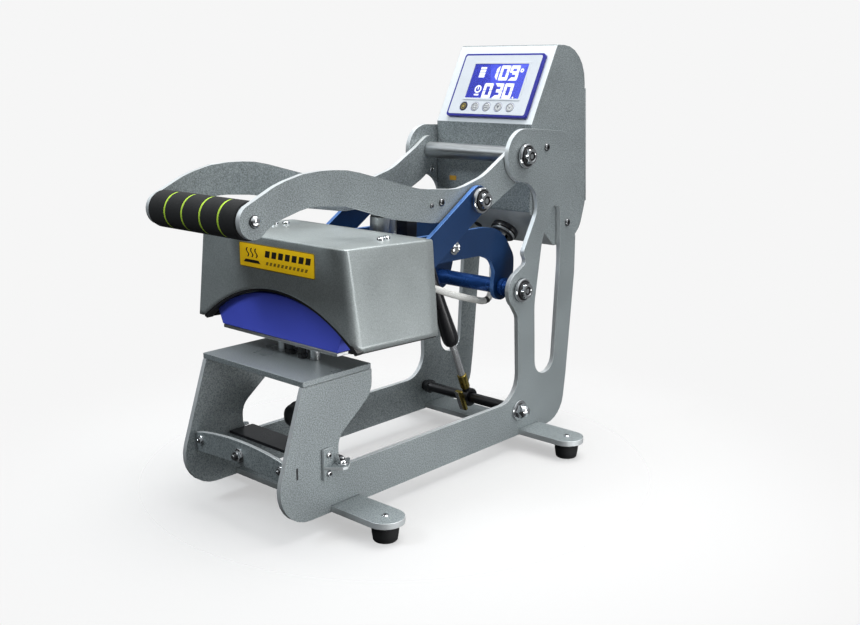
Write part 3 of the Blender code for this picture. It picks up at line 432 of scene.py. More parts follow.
def build_front_details():
    """Brackets, brace bolts, and painted shade in the slots where the brace tabs show, low on the front of
    the frame.
    """
    for side, word in SIDES:
        x = side * PLATE_OUT
        out = (side, 0, 0)
        # A dark strip in each brace slot: painted shade.
        tab = axes(at(x + side * 0.2, -40.0, 47.0), (0, side, 0), (0, 0, 1))
        flat(f"brace_slot_painted_shade_{word}", [rounded_rect(1.7, 10.5, 0.5)], -0.2, 0.15, tab, [PAINTED_SHADE_AND_BLACK], "frame")
        # The bracket rims take the painted edge highlight.
        plate = axes(at(x, -6.4, 47.0), (0, side, 0), (0, 0, 1))
        flat(f"bracket_plate_{word}", [rounded_rect(11.5, 29.0, 2.0)], 0.3, 3.0, plate,
             [PAINT, EDGE_PAINTED_HIGHLIGHT], "frame", bevel=0.4)
        shelf = [(0.3, -12.0), (3.0, -12.0), (16.0, -2.0), (17.0, 3.0), (13.0, 9.0), (3.0, 19.0),
                 (0.3, 19.0)]
        if side < 0:
            shelf = [(-u, v) for u, v in reversed(shelf)]
        flat(f"bracket_shelf_{word}", [shelf], 0.0, 2.6, axes(at(x, 0.0, 43.4), (1, 0, 0), (0, 1, 0)),
             [PAINT, EDGE_PAINTED_HIGHLIGHT], "frame", bevel=0.4)
        for end, z in (("top", 55.5), ("low", 38.5)):
            screw(f"bracket_screw_{end}_{word}", at(x + side * 3.0, -6.4, z), out, 3.0, 1.8, "frame")
        hex_nut(f"bracket_nut_{word}", at(x + side * 8.5, 4.5, 46.0), (0, 0, 1), 4.2, 4.2, "frame",
                stud=1.6)
    hex_nut("brace_centre_nut", at(0.0, -47.0, 48.0), (0, -1, 0), 5.0, 4.6, "frame", 6.6, 2.5)
    for side, word in SIDES:
        hex_nut(f"brace_end_nut_{word}", at(side * (PLATE_IN - 8.0), -47.0, 48.5), (0, -1, 0), 3.4, 3.0,
                "frame", 4.4, 1.0)


def build_inner_bolts():
    """Small nuts that show on the inner faces of the plates, behind the arms."""
    for side, word in SIDES:
        hex_nut(f"plate_inner_nut_{word}", at(side * PLATE_IN, 279.5, 274.0), (-side, 0, 0), 3.4, 2.2,
                "frame", 4.6, 0.8)


def build_lower_shaft():
    """The black shaft across the back of the frame, its collars and its bright end nuts."""
    reach = PLATE_IN - 0.3
    half = [(0.0, reach), (6.0, reach), (6.0, reach - 4.0), (7.6, reach - 4.6), (7.6, reach - 9.4),
            (6.2, reach - 10.0), (5.6, reach - 14.0)]
    rings = half + [(r, -h) for r, h in reversed(half)]
    turned("lower_shaft_turned", rings, (1, 0, 0), SPRING_FOOT, [BLACK], "frame",
           ("lower_shaft",), steps=40)
    for side, word in SIDES:
        rings = [(0.0, -5.2), (4.0, -5.2), (4.0, 0.3), (11.3, 0.3), (11.3, 1.7), (10.8, 2.2), (8.2, 2.2),
                 (8.0, 2.3, 6), (8.0, 6.4, 6), (7.0, 7.6), (6.3, 9.8), (4.4, 11.9), (2.0, 12.8),
                 (0.0, 13.0)]
        face = SPRING_FOOT + Vector((side * PLATE_OUT, 0, 0)) * MM
        # The crease at the nut's foot takes painted shade.
        turned(f"shaft_cap_nut_{word}", rings, (side, 0, 0), face, [CHROME, PAINTED_SHADE_AND_BLACK], "frame",
               dark=(6,), sharp=30.0)


def pivot_stack(name, place, side, body, replaces, shaft=6.0, inner=-23.0):
    """Washer, groove, flanged nut and the end of the bolt, outwards from a plate's face."""
    rings = [(0.0, inner), (shaft, inner), (shaft, 0.3), (12.4, 0.3), (12.4, 1.1), (11.7, 1.3),
             (11.7, 1.9), (12.4, 2.1), (12.4, 4.2), (11.6, 4.9), (10.5, 4.9), (10.1, 3.9), (8.9, 3.9),
             (8.9, 5.6), (8.5, 6.0), (8.3, 6.2, 6), (8.3, 9.3, 6), (7.4, 10.2), (5.0, 10.4),
             (4.5, 10.0), (4.3, 8.0), (3.0, 8.0), (2.6, 9.4), (0.0, 9.6)]
    # The groove, the ring round the nut's foot, its flange and the socket take painted shade.
    return turned(name, rings, (side, 0, 0), place, [CHROME, PAINTED_SHADE_AND_BLACK], body, replaces,
                  steps=60, dark=(4, 5, 10, 11, 12, 13, 14, 19, 20), sharp=30.0)


def build_pivots():
    for side, word in SIDES:
        shift = Vector((side * PLATE_OUT, 0.0, 0.0)) * MM
        for label, place in (("handle_pivot_bolt", HANDLE_PIVOT), ("head_pivot_bolt", HEAD_PIVOT)):
            pivot_stack(f"{label}_stack_{word}", place + shift, side, "frame", (f"{label}_{word}",))
        pin = LINK_PIN + Vector((side * 71.0, 0.0, 0.0)) * MM
        pivot_stack(f"link_pin_stack_{word}", pin, side, "links", (f"link_pin_{word}",), 5.0, -12.4)


# ---------------------------------------------------------------- control box
BACK_SLOPE = 7.3, 122.0        # how far the box's back leans over its height


def build_control_box():
    display_way = PANEL.to_3x3() @ UP
    gland_way = LOWER_PANEL.to_3x3() @ UP

    def pick(normal, _centre):
        if normal.dot(display_way) > 0.97:
            return 1
        # The lower panel, with the gland, takes the painted bounce light.
        return 2 if normal.dot(gland_way) > 0.97 else 0

    refined("control_box", [PAINT, BOX_WHITE, LOWER_PANEL_PAINTED_BOUNCE_LIGHT], 1.0, pick)
    refined("back_cover", [PAINT], 0.5)
    refined("power_inlet", [KNOB], 0.5)
    for name, colour in (("controller_board", BOARD), ("solid_state_relay", KNOB)):
        NODES[name].data.materials.clear()
        NODES[name].data.materials.append(colour)
    low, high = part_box("power_inlet")
    middle = (low + high) / 2
    lean = math.atan2(*BACK_SLOPE)
    back = axes(Vector((middle.x, high.y, middle.z)), (-1, 0, 0), (0, -math.sin(lean), math.cos(lean)))
    # The inlet's well is filled with painted shade.
    well = [rounded_rect(22.0, 17.0, 3.0)]
    flat("inlet_well", well, -1.0, -0.35, back, [PAINTED_SHADE_AND_BLACK], "frame")
    for number, (u, v) in enumerate(((-5.0, -2.0), (5.0, -2.0), (0.0, 3.0))):
        flat(f"inlet_pin_{number}", [rounded_rect(2.0, 5.0, 0.6, (u, v))], -1.0, -0.15, back, [BRASS],
             "frame")
    cover_low, cover_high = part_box("back_cover")
    for number, (x, z) in enumerate(((-58.0, 6.0), (58.0, 6.0), (-58.0, 116.0), (58.0, 116.0))):
        y = cover_high.y - z * MM * math.tan(lean) - 0.0001
        screw(f"back_screw_{number}", Vector((x * MM, y, cover_low.z + z * MM)),
              (0, math.cos(lean), math.sin(lean)), 3.2, 1.4, "frame")
    # The vent slots are dark bars of painted shade.
    for number in range(6):
        vent = rounded_rect(34.0, 2.2, 1.1, (-48.0, 34.0 + 6.0 * number))
        flat(f"back_vent_{number}", [vent], -1.85, -1.5, back, [PAINTED_SHADE_AND_BLACK], "frame")
    for side, word in SIDES:
        for number, (y, z) in enumerate(((306.7, 303.2), (347.3, 220.9))):
            screw(f"box_screw_{number}_{word}", at(side * PLATE_OUT, y, z), (side, 0, 0), 4.0, 2.2, "frame",
                  DARK_STEEL)
    # A dark disc over the panel's hole: painted shade.
    flat("panel_hole_painted_shade", [disc(4.6)], -0.1, 0.25, LOWER_PANEL @ Matrix.Translation((-0.026, 0.0, 0.0)),
         [PAINTED_SHADE_AND_BLACK], "frame")
    flat("inspection_sticker", [rounded_rect(9.5, 5.0, 0.6)], 0.05, 0.3,
         axes(at(-41.0, 287.3, 265.7), (1, 0, 0), (0, 0, 1)), [STICKER], "frame")
    gland = [(7.2, 9.6), (9.8, 9.6), (10.6, 9.0), (13.0, 8.8), (13.9, 8.0), (13.9, 6.6), (13.2, 6.2),
             (13.2, 5.6), (15.0, 5.4), (15.2, 4.8), (15.2, 1.6), (14.8, 0.3), (12.0, 0.3), (12.0, -6.0),
             (7.2, -6.0)]
    turned("cable_gland_turned", gland, LOWER_PANEL.to_3x3() @ UP,
           LOWER_PANEL @ Vector((GLAND_X * MM, 0.0, 0.0)), [BLACK, BRUSHED], "frame",
           ("cable_gland",), steps=60, dark=(3, 4))


# Which of the seven bars of a digit are lit: top, two upper, middle, two lower, bottom
SEGMENTS = {"0": "abcdef", "1": "bc", "3": "abcdg", "9": "abcdfg"}


def digit(character, left, low, width, height, bar):
    """Outlines of the lit bars of a seven-bar digit."""
    half = height / 2
    cut = bar * 0.09
    side = bar * 0.96
    sketch = {
        "a": [(cut, height), (width - cut, height), (width - bar, height - bar), (bar, height - bar)],
        "g": [(bar, half + bar / 2), (width - bar, half + bar / 2), (width - bar, half - bar / 2),
              (bar, half - bar / 2)],
        "d": [(cut, 0.0), (width - cut, 0.0), (width - bar, bar), (bar, bar)],
        "f": [(0.0, height - cut), (side, height - bar - cut), (side, half + cut), (0.0, half + cut)],
        "b": [(width, height - cut), (width - side, height - bar - cut), (width - side, half + cut),
              (width, half + cut)],
        "e": [(0.0, cut), (side, bar + cut), (side, half - cut), (0.0, half - cut)],
        "c": [(width, cut), (width - side, bar + cut), (width - side, half - cut), (width, half - cut)],
    }
    return [[(left + u, low + v) for u, v in sketch[bar_name]] for bar_name in SEGMENTS[character]]


def build_display():
    """The raised display module, its lit screen and its row of buttons."""
    middle = PANEL @ Matrix.Translation((DISPLAY_X * MM, DISPLAY_ALONG * MM, 0.0))
    flat("display_module", [rounded_rect(107.5, 73.0, 3.0)], 0.3, 4.3, middle, [BEZEL], "frame",
         ("display_bezel",), bevel=0.5)
    names = ("power", "mode", "down", "up", "start")
    along = -25.6
    spots = [-32.4, -16.7, -1.0, 14.7, 30.4]
    centre = (1.6, 4.2)
    window = rounded_rect(72.4, 39.8, 0.8, centre)
    holes = [disc(5.3, (x, along), 28) for x in spots]
    flat("display_fascia_sheet", [rounded_rect(102.8, 68.3, 2.2), window, *holes], 4.2, 4.6, middle,
         [FASCIA], "frame", ("display_fascia",), bevel=0.12)
    flat("screen_frame", [rounded_rect(77.0, 44.2, 1.2, centre), window], 4.5, 5.1, middle, [FASCIA],
         "frame", bevel=0.25)
    flat("screen_glass", [rounded_rect(72.3, 39.7, 0.8, centre)], 3.9, 4.3, middle, [LCD], "frame",
         ("lcd_screen",))

    def lit(name, outlines):
        flat(name, outlines, 4.3, 4.4, middle, [DIGIT], "frame")

    bars = []
    for text, low, cells in (("109", 5.0, (-11.4, 2.4, 15.4)), ("030", -15.7, (-12.9, 1.2, 14.6))):
        for character, left in zip(text, cells):
            bars += digit(character, left, low, 11.9, 17.4, 3.7)
    bars += [disc(1.0, (29.6, -14.3), 12)]
    lit("screen_digits", bars)
    lit("degree_mark", [disc(2.3, (30.8, 16.6)), disc(0.9, (30.8, 16.6))])
    lit("level_icon", [rounded_rect(7.8, 2.6, 0.5, (-21.4, 9.6 + 3.2 * k)) for k in range(4)])
    lit("clock_icon", [disc(4.5, (-20.4, -5.2)), disc(2.9, (-20.4, -5.2))])
    lit("clock_hands", [rounded_rect(1.3, 3.2, 0.3, (-20.4, -4.2)),
                        rounded_rect(6.2, 1.9, 0.4, (-20.6, -11.8))])
    icons = {
        "power": [disc(2.6), disc(1.6)],
        "mode": [rounded_rect(4.6, 3.6, 0.6), rounded_rect(3.2, 2.2, 0.4)],
        "down": [rounded_rect(4.8, 1.0, 0.3, (0.0, 0.9)), rounded_rect(4.8, 1.0, 0.3, (0.0, -1.2))],
        "up": [[(-2.4, 1.8), (0.0, -2.2), (2.4, 1.8)]],
        "start": [[(-2.3, 1.7), (0.0, -2.1), (2.5, 2.3), (0.4, -0.4)]],
    }
    for name, x in zip(names, spots):
        body = f"button_{name}"
        power = name == "power"
        place = middle @ Matrix.Translation((x * MM, along * MM, 0.0))
        cap = [(0.0, 0.3), (4.9, 0.3), (4.9, 4.4), (4.6, 4.9), (4.0, 5.1), (3.7, 4.9), (3.2, 4.9),
               (0.0, 4.95)]
        colours = [PAINTED_SHADE_AND_BLACK, BRASS] if power else [BUTTON_PRINT, PRINT_GREY]
        turned(f"{body}_cap", cap, place.to_3x3() @ UP, place.translation, colours, body,
               (body,), steps=40, dark=(6,) if power else (4, 5))
        flat(f"{body}_icon", icons[name], 4.9, 5.06, place, [PAINTED_SHADE_AND_BLACK if power else PRINT_GREY], body)


# ---------------------------------------------------------------- lower platen
KNOB_LOBES = 7
THREAD_TURNS, THREAD_PITCH = 28, 2.0


def build_lower_platen():
    refined("silicone_pad", [SILICONE], 0.8)
    refined("lower_platen_plate", [ALUMINIUM], 0.4)
    post = [(0.0, 143.1), (5.0, 143.1), (5.0, 128.5), (5.6, 128.2), (5.6, 126.7), (4.9, 126.5), (4.9, 100.4),
            (4.0, 99.0), (0.0, 99.0)]
    for x, word in ((-22.0, "left"), (22.0, "right")):
        turned(f"guide_post_turned_{word}", post, (0, 0, 1), at(x, 25.5, 0), [BRUSHED], "lower_platen",
               (f"guide_post_{word}",), steps=36)
    low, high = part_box("pressure_knob")
    screw_y = ((low.y + high.y) / 2 - DATUM.y) / MM
    thread = []
    for k in range(THREAD_TURNS):
        z = 143.0 - k * THREAD_PITCH
        thread += [(6.0, z), (6.0, z - 0.7), (5.3, z - 1.0), (5.3, z - 1.7)]
    rim = [(22.6, 73.2), (24.6, 70.6), (25.4, 67.4), (25.4, 62.6), (24.6, 59.2), (22.4, 56.6)]
    rings = [(0.0, 143.1), *thread, (6.0, 84.5), (10.0, 84.0), (11.6, 83.0), (12.0, 77.0), (14.0, 75.4),
             (19.0, 74.6), *((r, h, -KNOB_LOBES) for r, h in rim), (18.0, 55.6), (15.0, 57.0), (0.0, 57.0)]
    turned("pressure_knob_turned", rings, (0, 0, 1), at(0.0, screw_y, 0), [KNOB, BRUSHED], "knob",
           ("pressure_knob",), steps=126, dark=range(len(thread) + 1))
    for x, y, r, word in ((-9.0, 24.0, 4.4, "front"), (12.0, 20.0, 3.2, "side")):
        rings = [(0.0, 16.4), (r, 16.4), (r, 4.2), (r + 1.6, 4.0, 6), (r + 1.6, 0.4, 6), (0.0, 0.4)]
        turned(f"platen_stud_{word}", rings, (0, 0, 1), at(x, y, 126.6), [BLACK], "lower_platen",
               steps=36)


# ---------------------------------------------------------------- head
COVER_TOP, COVER_LOW, COVER_REAR = 68.5, -17.0, -168.0
COVER_FRONT, FRONT_RUN = -276.0, 3.5        # at the top, and how far the low edge is behind it
COVER_BEND = 5.0, 8.5                      # corner roll at the top and at the low edge
HALF_FRONT, HALF_REAR = 97.5, 96.6         # half widths along the top
SHEET = 1.6
ARCH_MIDDLE, ARCH_HALF, ARCH_CROWN = 5.0, 105.0, 22.4


def arch_height(x):
    """Height of the arch's edge at x, in head axes; outside the arch, the cover's low edge."""
    rise = ARCH_CROWN - COVER_LOW
    radius = (ARCH_HALF ** 2 + rise ** 2) / (2 * rise)
    inside = radius ** 2 - (x - ARCH_MIDDLE) ** 2
    if inside <= 0.0:
        return COVER_LOW
    return max(COVER_LOW, ARCH_CROWN - radius + math.sqrt(inside))


def front_at(z):
    """How far forward the cover's leaning front is at a height, in head axes."""
    return COVER_FRONT + FRONT_RUN * (COVER_TOP - z) / (COVER_TOP - COVER_LOW)


def front_axes(x, z):
    """Axes on the cover's leaning front face: X across it, Y up it."""
    turn = HEAD_AXES.to_3x3()
    up = turn @ Vector((0.0, -FRONT_RUN, COVER_TOP - COVER_LOW))
    return axes(in_head(x, front_at(z), z), (1, 0, 0), up)


def cover_ring(share):
    """Outline of the cover from its rear left to its rear right corner; share 1 is lowest."""
    front = COVER_FRONT + FRONT_RUN * share
    bend = COVER_BEND[0] + (COVER_BEND[1] - COVER_BEND[0]) * share
    points = []
    for side, front_low, rear_low in ((-1, 113.2, 108.0), (1, 109.4, 106.4)):
        front_half = HALF_FRONT + (front_low - HALF_FRONT) * share
        rear_half = HALF_REAR + (rear_low - HALF_REAR) * share
        wing = [(side * (rear_half + (front_half - rear_half) * k / 9),
                 COVER_REAR + (front + bend - COVER_REAR) * k / 9) for k in range(9)]
        for k in range(9):
            turn = math.radians(90 * k / 8)
            wing.append((side * (front_half - bend + bend * math.cos(turn)),
                         front + bend - bend * math.sin(turn)))
        points.append(wing)
    left, right = points
    start, end = left[-1][0], right[-1][0]
    middle = [(start + (end - start) * k / 60, front) for k in range(1, 60)]
    return left + middle + right[::-1]


def build_cover():
    """The bent sheet cover, with an arch in its front, rolled corners and an open rear."""
    top, bottom = cover_ring(0.0), cover_ring(1.0)
    feet = [(x, y, arch_height(x) if y < COVER_FRONT + FRONT_RUN + COVER_BEND[1] * 0.7 else COVER_LOW)
            for x, y in bottom]
    bm = bmesh.new()
    rows = []
    for inset, drop in ((1.8, 0.0), (0.9, 0.12), (0.25, 0.6), (0.0, 1.6)):
        shrink = 1 - inset / HALF_FRONT
        rows.append([bm.verts.new(in_head(x * shrink, max(y, COVER_FRONT + inset), COVER_TOP - drop))
                     for x, y in top])
    count = 16
    for j in range(1, count + 1):
        row = []
        for (tx, ty), (bx, by, bz) in zip(top, feet):
            z = COVER_TOP - 1.6 + (bz - COVER_TOP + 1.6) * j / count
            share = (COVER_TOP - z) / (COVER_TOP - COVER_LOW)
            row.append(bm.verts.new(in_head(tx + (bx - tx) * share, ty + (by - ty) * share, z)))
        rows.append(row)
    for upper, lower in zip(rows, rows[1:]):
        for i in range(len(upper) - 1):
            bm.faces.new((upper[i], lower[i], lower[i + 1], upper[i + 1]))
    bm.faces.new(rows[0][::-1])
    bm.normal_update()
    if max(bm.faces, key=lambda f: f.calc_center_median().z).normal.z < 0:
        bmesh.ops.reverse_faces(bm, faces=bm.faces)
    for face in bm.faces:
        face.smooth = True
    obj = place_piece("heat_cover_sheet", bm, [COVER, COVER_EDGE_PAINTED_HIGHLIGHT], "head",
                      ("heat_cover",), sharp=40.0)
    thick = obj.modifiers.new("Sheet", "SOLIDIFY")
    thick.thickness = SHEET * MM
    thick.offset = -1.0
    # The sheet's rims take the painted edge highlight.
    thick.material_offset_rim = 1
    half_top, half_low = 95.0, 104.5
    rear = axes(in_head(0.0, COVER_REAR - 1.8, 0.0), (-1, 0, 0), HEAD_UP)
    wall = [(-half_low, COVER_LOW + 0.5), (half_low, COVER_LOW + 0.5), (half_top, COVER_TOP - 2.0),
            (-half_top, COVER_TOP - 2.0)]
    hole = [(-77.0, 20.0), (77.0, 20.0), (77.0, 64.5), (-77.0, 64.5)]
    # The back's rim takes the painted edge highlight too.
    flat("heat_cover_back", [wall, hole], 0.0, SHEET, rear, [COVER, COVER_EDGE_PAINTED_HIGHLIGHT], "head",
         bevel=0.3)
    xs = [ARCH_MIDDLE - ARCH_HALF + 2 * ARCH_HALF * k / 60 for k in range(61)]
    upper = [(x, arch_height(x) + 0.5) for x in xs]
    lower = [(ARCH_MIDDLE + (x - ARCH_MIDDLE) * 0.972, arch_height(x) - 2.4) for x in reversed(xs)]
    flat("arch_seal", [[*upper, *lower]], -8.0, -0.5, front_axes(0.0, 0.0), [GASKET], "head")
    for side, word in SIDES:
        strip = [(side * 104.6, COVER_REAR - 1.0), (side * 107.4, -263.0), (side * 105.6, -268.0),
                 (side * 101.0, -271.0), (side * 98.0, -271.0), (side * 98.0, COVER_REAR - 1.0)]
        if side < 0:
            strip.reverse()
        under = HEAD_AXES @ Matrix.Translation((0.0, 0.0, COVER_LOW * MM))
        flat(f"low_seal_{word}", [strip], -1.7, 0.8, under, [GASKET], "head")


def build_label():
    """A plain yellow heat label: a pictogram and rows of slanting bars, with no words."""
    front = front_axes(10.0, 50.0)
    flat("label_rim_plate", [rounded_rect(101.6, 22.2, 1.8)], 0.05, 0.3, front, [LABEL_RIM], "head")
    # The label plate carries the painted glow.
    flat("label_plate", [rounded_rect(100.0, 20.6, 1.2)], 0.25, 0.45, front, [LABEL_PAINTED_GLOW], "head")

    def bar(left, low, width, height, slant=1.4):
        return [(left, low), (left + width, low), (left + width + slant, low + height),
                (left + slant, low + height)]

    upper = [bar(-15.0 + 9.0 * k, 0.4, 6.2, 6.0) for k in range(7)]
    lower = [bar(-14.0 + 5.2 * k, -6.4, 3.0, 3.0) for k in range(11)]
    flat("label_upper_bars", upper, 0.42, 0.52, front, [PRINT_BLACK], "head")
    flat("label_lower_bars", lower, 0.42, 0.5, front, [LABEL_RIM], "head")
    waves = []
    for k in range(3):
        line = [(-39.0 + 6.0 * k + 1.5 * math.sin(2 * math.pi * t / 10), -1.6 + 8.4 * t / 10)
                for t in range(11)]
        waves.append([(u - 0.9, v) for u, v in line] + [(u + 0.9, v) for u, v in reversed(line)])
    waves.append([(-45.0, -6.6), (-21.0, -6.6), (-24.0, -3.8), (-42.0, -3.8)])
    flat("label_heat_sign", waves, 0.42, 0.52, front, [PRINT_BLACK], "head")


def build_head():
    build_cover()
    build_label()
    # Hook and lug rims take the painted blue edge highlight.
    for word in ("left", "right"):
        for part in ("hook_arm", "link_lug"):
            refined(f"{part}_{word}", [BLUE, BLUE_EDGE_PAINTED_HIGHLIGHT], 0.5, cut_faces)
    refined("head_beam", [BLUE], 0.6)
    refined("magnet_block", [BLACK], 0.8)
    refined("heated_platen", [ALUMINIUM], 0.4)
    half = [(8.2, 64.2), (9.2, 64.0), (9.2, 58.0), (8.0, 57.2), (8.0, 51.5), (9.6, 50.8), (9.6, 46.4)]
    rings = half + [(8.0, 45.6), (8.0, -45.6)] + [(r, -h) for r, h in reversed(half)]
    rings += [(6.4, -64.2), (6.4, 64.2)]
    turned("pivot_tube_turned", rings, (1, 0, 0), HEAD_PIVOT, [BLUE_TUBE], "head",
           ("pivot_tube",), steps=48)
    end = [(0.0, 49.4), (2.0, 49.4), (2.4, 48.8), (4.4, 49.4), (5.4, 48.9), (5.6, 48.4, 6), (5.6, 46.8, 6),
           (6.9, 46.6), (6.9, 45.3), (4.0, 45.3)]
    turned("spring_pin_turned", end + [(r, -h, *rest) for r, h, *rest in reversed(end)], (1, 0, 0),
           SPRING_TOP, [CHROME], "head", ("spring_pin",), steps=48, sharp=28.0)
    can = [(0.0, 96.0), (4.0, 96.0), (4.6, 95.2), (4.6, 93.6), (10.4, 93.4), (12.6, 92.4), (13.0, 91.2),
           (13.0, 80.0), (12.4, 79.6), (12.4, 78.4), (13.0, 78.0), (13.0, 58.0), (11.0, 56.0), (11.0, 52.9),
           (0.0, 52.9)]
    # Its groove takes painted shade.
    turned("release_cylinder_turned", can, HEAD_UP, in_head(0.0, -133.0, 0.0), [BRUSHED, PAINTED_SHADE_AND_BLACK], "head",
           ("release_cylinder",), dark=(8, 9))
    for side, word in ((1, ""), (-1, "far_")):
        for number, (x, y) in enumerate(((72.1, -208.9), (68.4, -197.9))):
            screw(f"cover_bolt_{word}{number}", in_head(side * x, y, COVER_TOP), HEAD_UP, 3.6, 3.0, "head")


# ---------------------------------------------------------------- handle, links, gas spring
GRIP = (-71.0, 265.5)
ARM_OUT = 64.5


def build_handle():
    # The arm rims take the painted edge highlight.
    for word in ("left", "right"):
        refined(f"handle_arm_{word}", [PAINT, EDGE_PAINTED_HIGHLIGHT], 0.6, cut_faces)
    inner = ARM_OUT - 5.0 - 0.3
    tube = [(6.5, inner), (8.2, inner), (8.6, inner - 0.4), (8.6, -inner + 0.4), (8.2, -inner),
            (6.5, -inner)]
    turned("torque_tube_turned", tube, (1, 0, 0), HANDLE_PIVOT, [BRUSHED], "handle",
           ("torque_tube",), steps=64)
    grip = at(0.0, *GRIP)
    rod = [(0.0, ARM_OUT + 0.2), (3.0, ARM_OUT + 0.2), (3.0, -ARM_OUT - 0.2), (0.0, -ARM_OUT - 0.2)]
    turned("grip_rod_turned", rod, (1, 0, 0), grip, [CHROME], "handle", ("grip_rod",))
    rings, lime = [(3.4, -inner)], []
    rings += [(14.6, -inner), (15.7, -inner + 0.8), (16.0, -inner + 2.2)]
    for middle in (-35.0, -10.9, 13.7, 38.2):
        rings += [(16.0, middle - 1.5), (15.7, middle - 1.1)]
        lime.append(len(rings) - 1)
        rings += [(15.7, middle + 1.1), (16.0, middle + 1.5)]
    rings += [(16.0, inner - 2.2), (15.7, inner - 0.8), (14.6, inner), (3.4, inner)]
    foam = turned("foam_grip_turned", rings, (1, 0, 0), grip, [FOAM, LIME], "handle", ("foam_grip",),
                  steps=72, dark=lime)
    for side, word in SIDES:
        face = Vector((side * ARM_OUT, 0.0, 0.0)) * MM
        dome = [(0.0, -0.4), (5.4, -0.4), (5.4, 0.5), (5.0, 0.8), (4.9, 1.6), (4.2, 2.8), (2.8, 3.7),
                (0.0, 4.0)]
        # The ring under the dome takes painted shade.
        turned(f"grip_screw_{word}", dome, (side, 0, 0), grip + face, [CHROME, PAINTED_SHADE_AND_BLACK], "handle",
               steps=40, dark=(2, 3))
        for kind, y, z, r, height in (("stud", 135.9, 258.3, 2.3, 1.6), ("screw", 149.5, 260.2, 3.7, 2.2)):
            screw(f"arm_{kind}_{word}", at(side * ARM_OUT, y, z), (side, 0, 0), r, height, "handle",
                  DARK_STEEL)


def build_links():
    # Link rims take the painted blue edge highlight.
    for word in ("left", "right"):
        refined(f"link_{word}", [BLUE, BLUE_EDGE_PAINTED_HIGHLIGHT], 0.6, cut_faces)


def build_gas_spring():
    axis = (SPRING_TOP - SPRING_FOOT).normalized()
    body = [(0.0, 6.0), (3.6, 6.0), (5.0, 4.6), (5.0, -5.0), (6.4, -6.4), (6.7, -8.0), (6.8, -62.0),
            (7.3, -78.0), (8.2, -98.0), (9.0, -113.0), (9.0, -118.0), (8.4, -122.5), (7.0, -125.6),
            (5.0, -126.6), (4.4, -126.6), (4.4, -40.0), (0.0, -40.0)]
    turned("gas_cylinder_turned", body, axis, SPRING_TOP, [BLACK], "gas_cylinder",
           ("gas_cylinder",), steps=48)
    length = (SPRING_TOP - SPRING_FOOT).length / MM
    rod = [(0.0, length - 60.0), (3.9, length - 60.0), (3.9, 31.0), (3.2, 30.4), (0.0, 30.4)]
    turned("gas_rod_turned", rod, axis, SPRING_FOOT, [ROD], "gas_rod", ("gas_rod",),
           steps=40)
    sleeve = [(0.0, 30.6), (4.6, 30.6), (5.2, 29.8), (5.2, 14.0), (4.6, 13.0), (0.0, 13.0)]
    turned("rod_end_sleeve", sleeve, axis, SPRING_FOOT, [BRASS], "gas_rod", steps=40)
    eye = [(6.4, -4.6), (9.4, -4.6), (10.2, -3.8), (10.2, 3.8), (9.4, 4.6), (6.4, 4.6)]
    turned("rod_end_eye", eye, (1, 0, 0), SPRING_FOOT, [BLACK], "gas_rod", steps=48)
    neck = [(0.0, 14.0), (4.0, 14.0), (4.4, 9.0), (0.0, 9.0)]
    turned("rod_end_neck", neck, axis, SPRING_FOOT, [BLACK], "gas_rod", steps=32)
    before = axes(SPRING_FOOT, (1, 0, 0), axis)
    flat("rod_end_block", [rounded_rect(9.6, 25.0, 1.2, (0.0, 3.5))], 10.3, 13.0, before, [BRASS],
         "gas_rod")
    flat("rod_end_strip", [rounded_rect(5.0, 24.2, 1.0, (-2.0, 3.5))], 12.9, 13.6, before, [ROD],
         "gas_rod")


# ---------------------------------------------------------------- heater lead
LEAD_ROUTE = (
    (17.0, 86.5, 197.0), (17.0, 100.0, 196.5), (16.5, 128.0, 190.0), (16.0, 160.0, 178.5),
    (15.0, 196.0, 163.5), (15.0, 222.0, 153.5), (14.0, 245.0, 146.0), (13.5, 262.0, 141.0),
    (13.0, 275.0, 137.5), (13.0, 284.0, 138.5), (13.0, 290.0, 146.0), (13.0, 291.5, 157.0),
    (13.0, 291.5, 170.0), (13.0, 293.5, 183.0), (13.0, 298.0, 194.0), (12.8, 303.0, 201.2),
    (12.7, 306.8, 205.6), (12.7, 310.8, 210.0), (12.7, 314.2, 213.7))
LEAD_R = 3.9
ROUTE_PARTS = 8                # parts between two points of the route
CLIP_POINT = 8                 # the dark clip is just past this point, at the low bend


def smooth_route(points):
    """Catmull-Rom points through the route."""
    route = [at(*p) for p in points]
    line = [route[0] * 2 - route[1], *route, route[-1] * 2 - route[-2]]
    made = []
    for a, b, c, d in zip(line, line[1:], line[2:], line[3:]):
        for i in range(ROUTE_PARTS):
            t = i / ROUTE_PARTS
            made.append(0.5 * (2 * b + (c - a) * t + (2 * a - 5 * b + 4 * c - d) * t ** 2
                               + (3 * b - a - 3 * c + d) * t ** 3))
    return [*made, route[-1]]


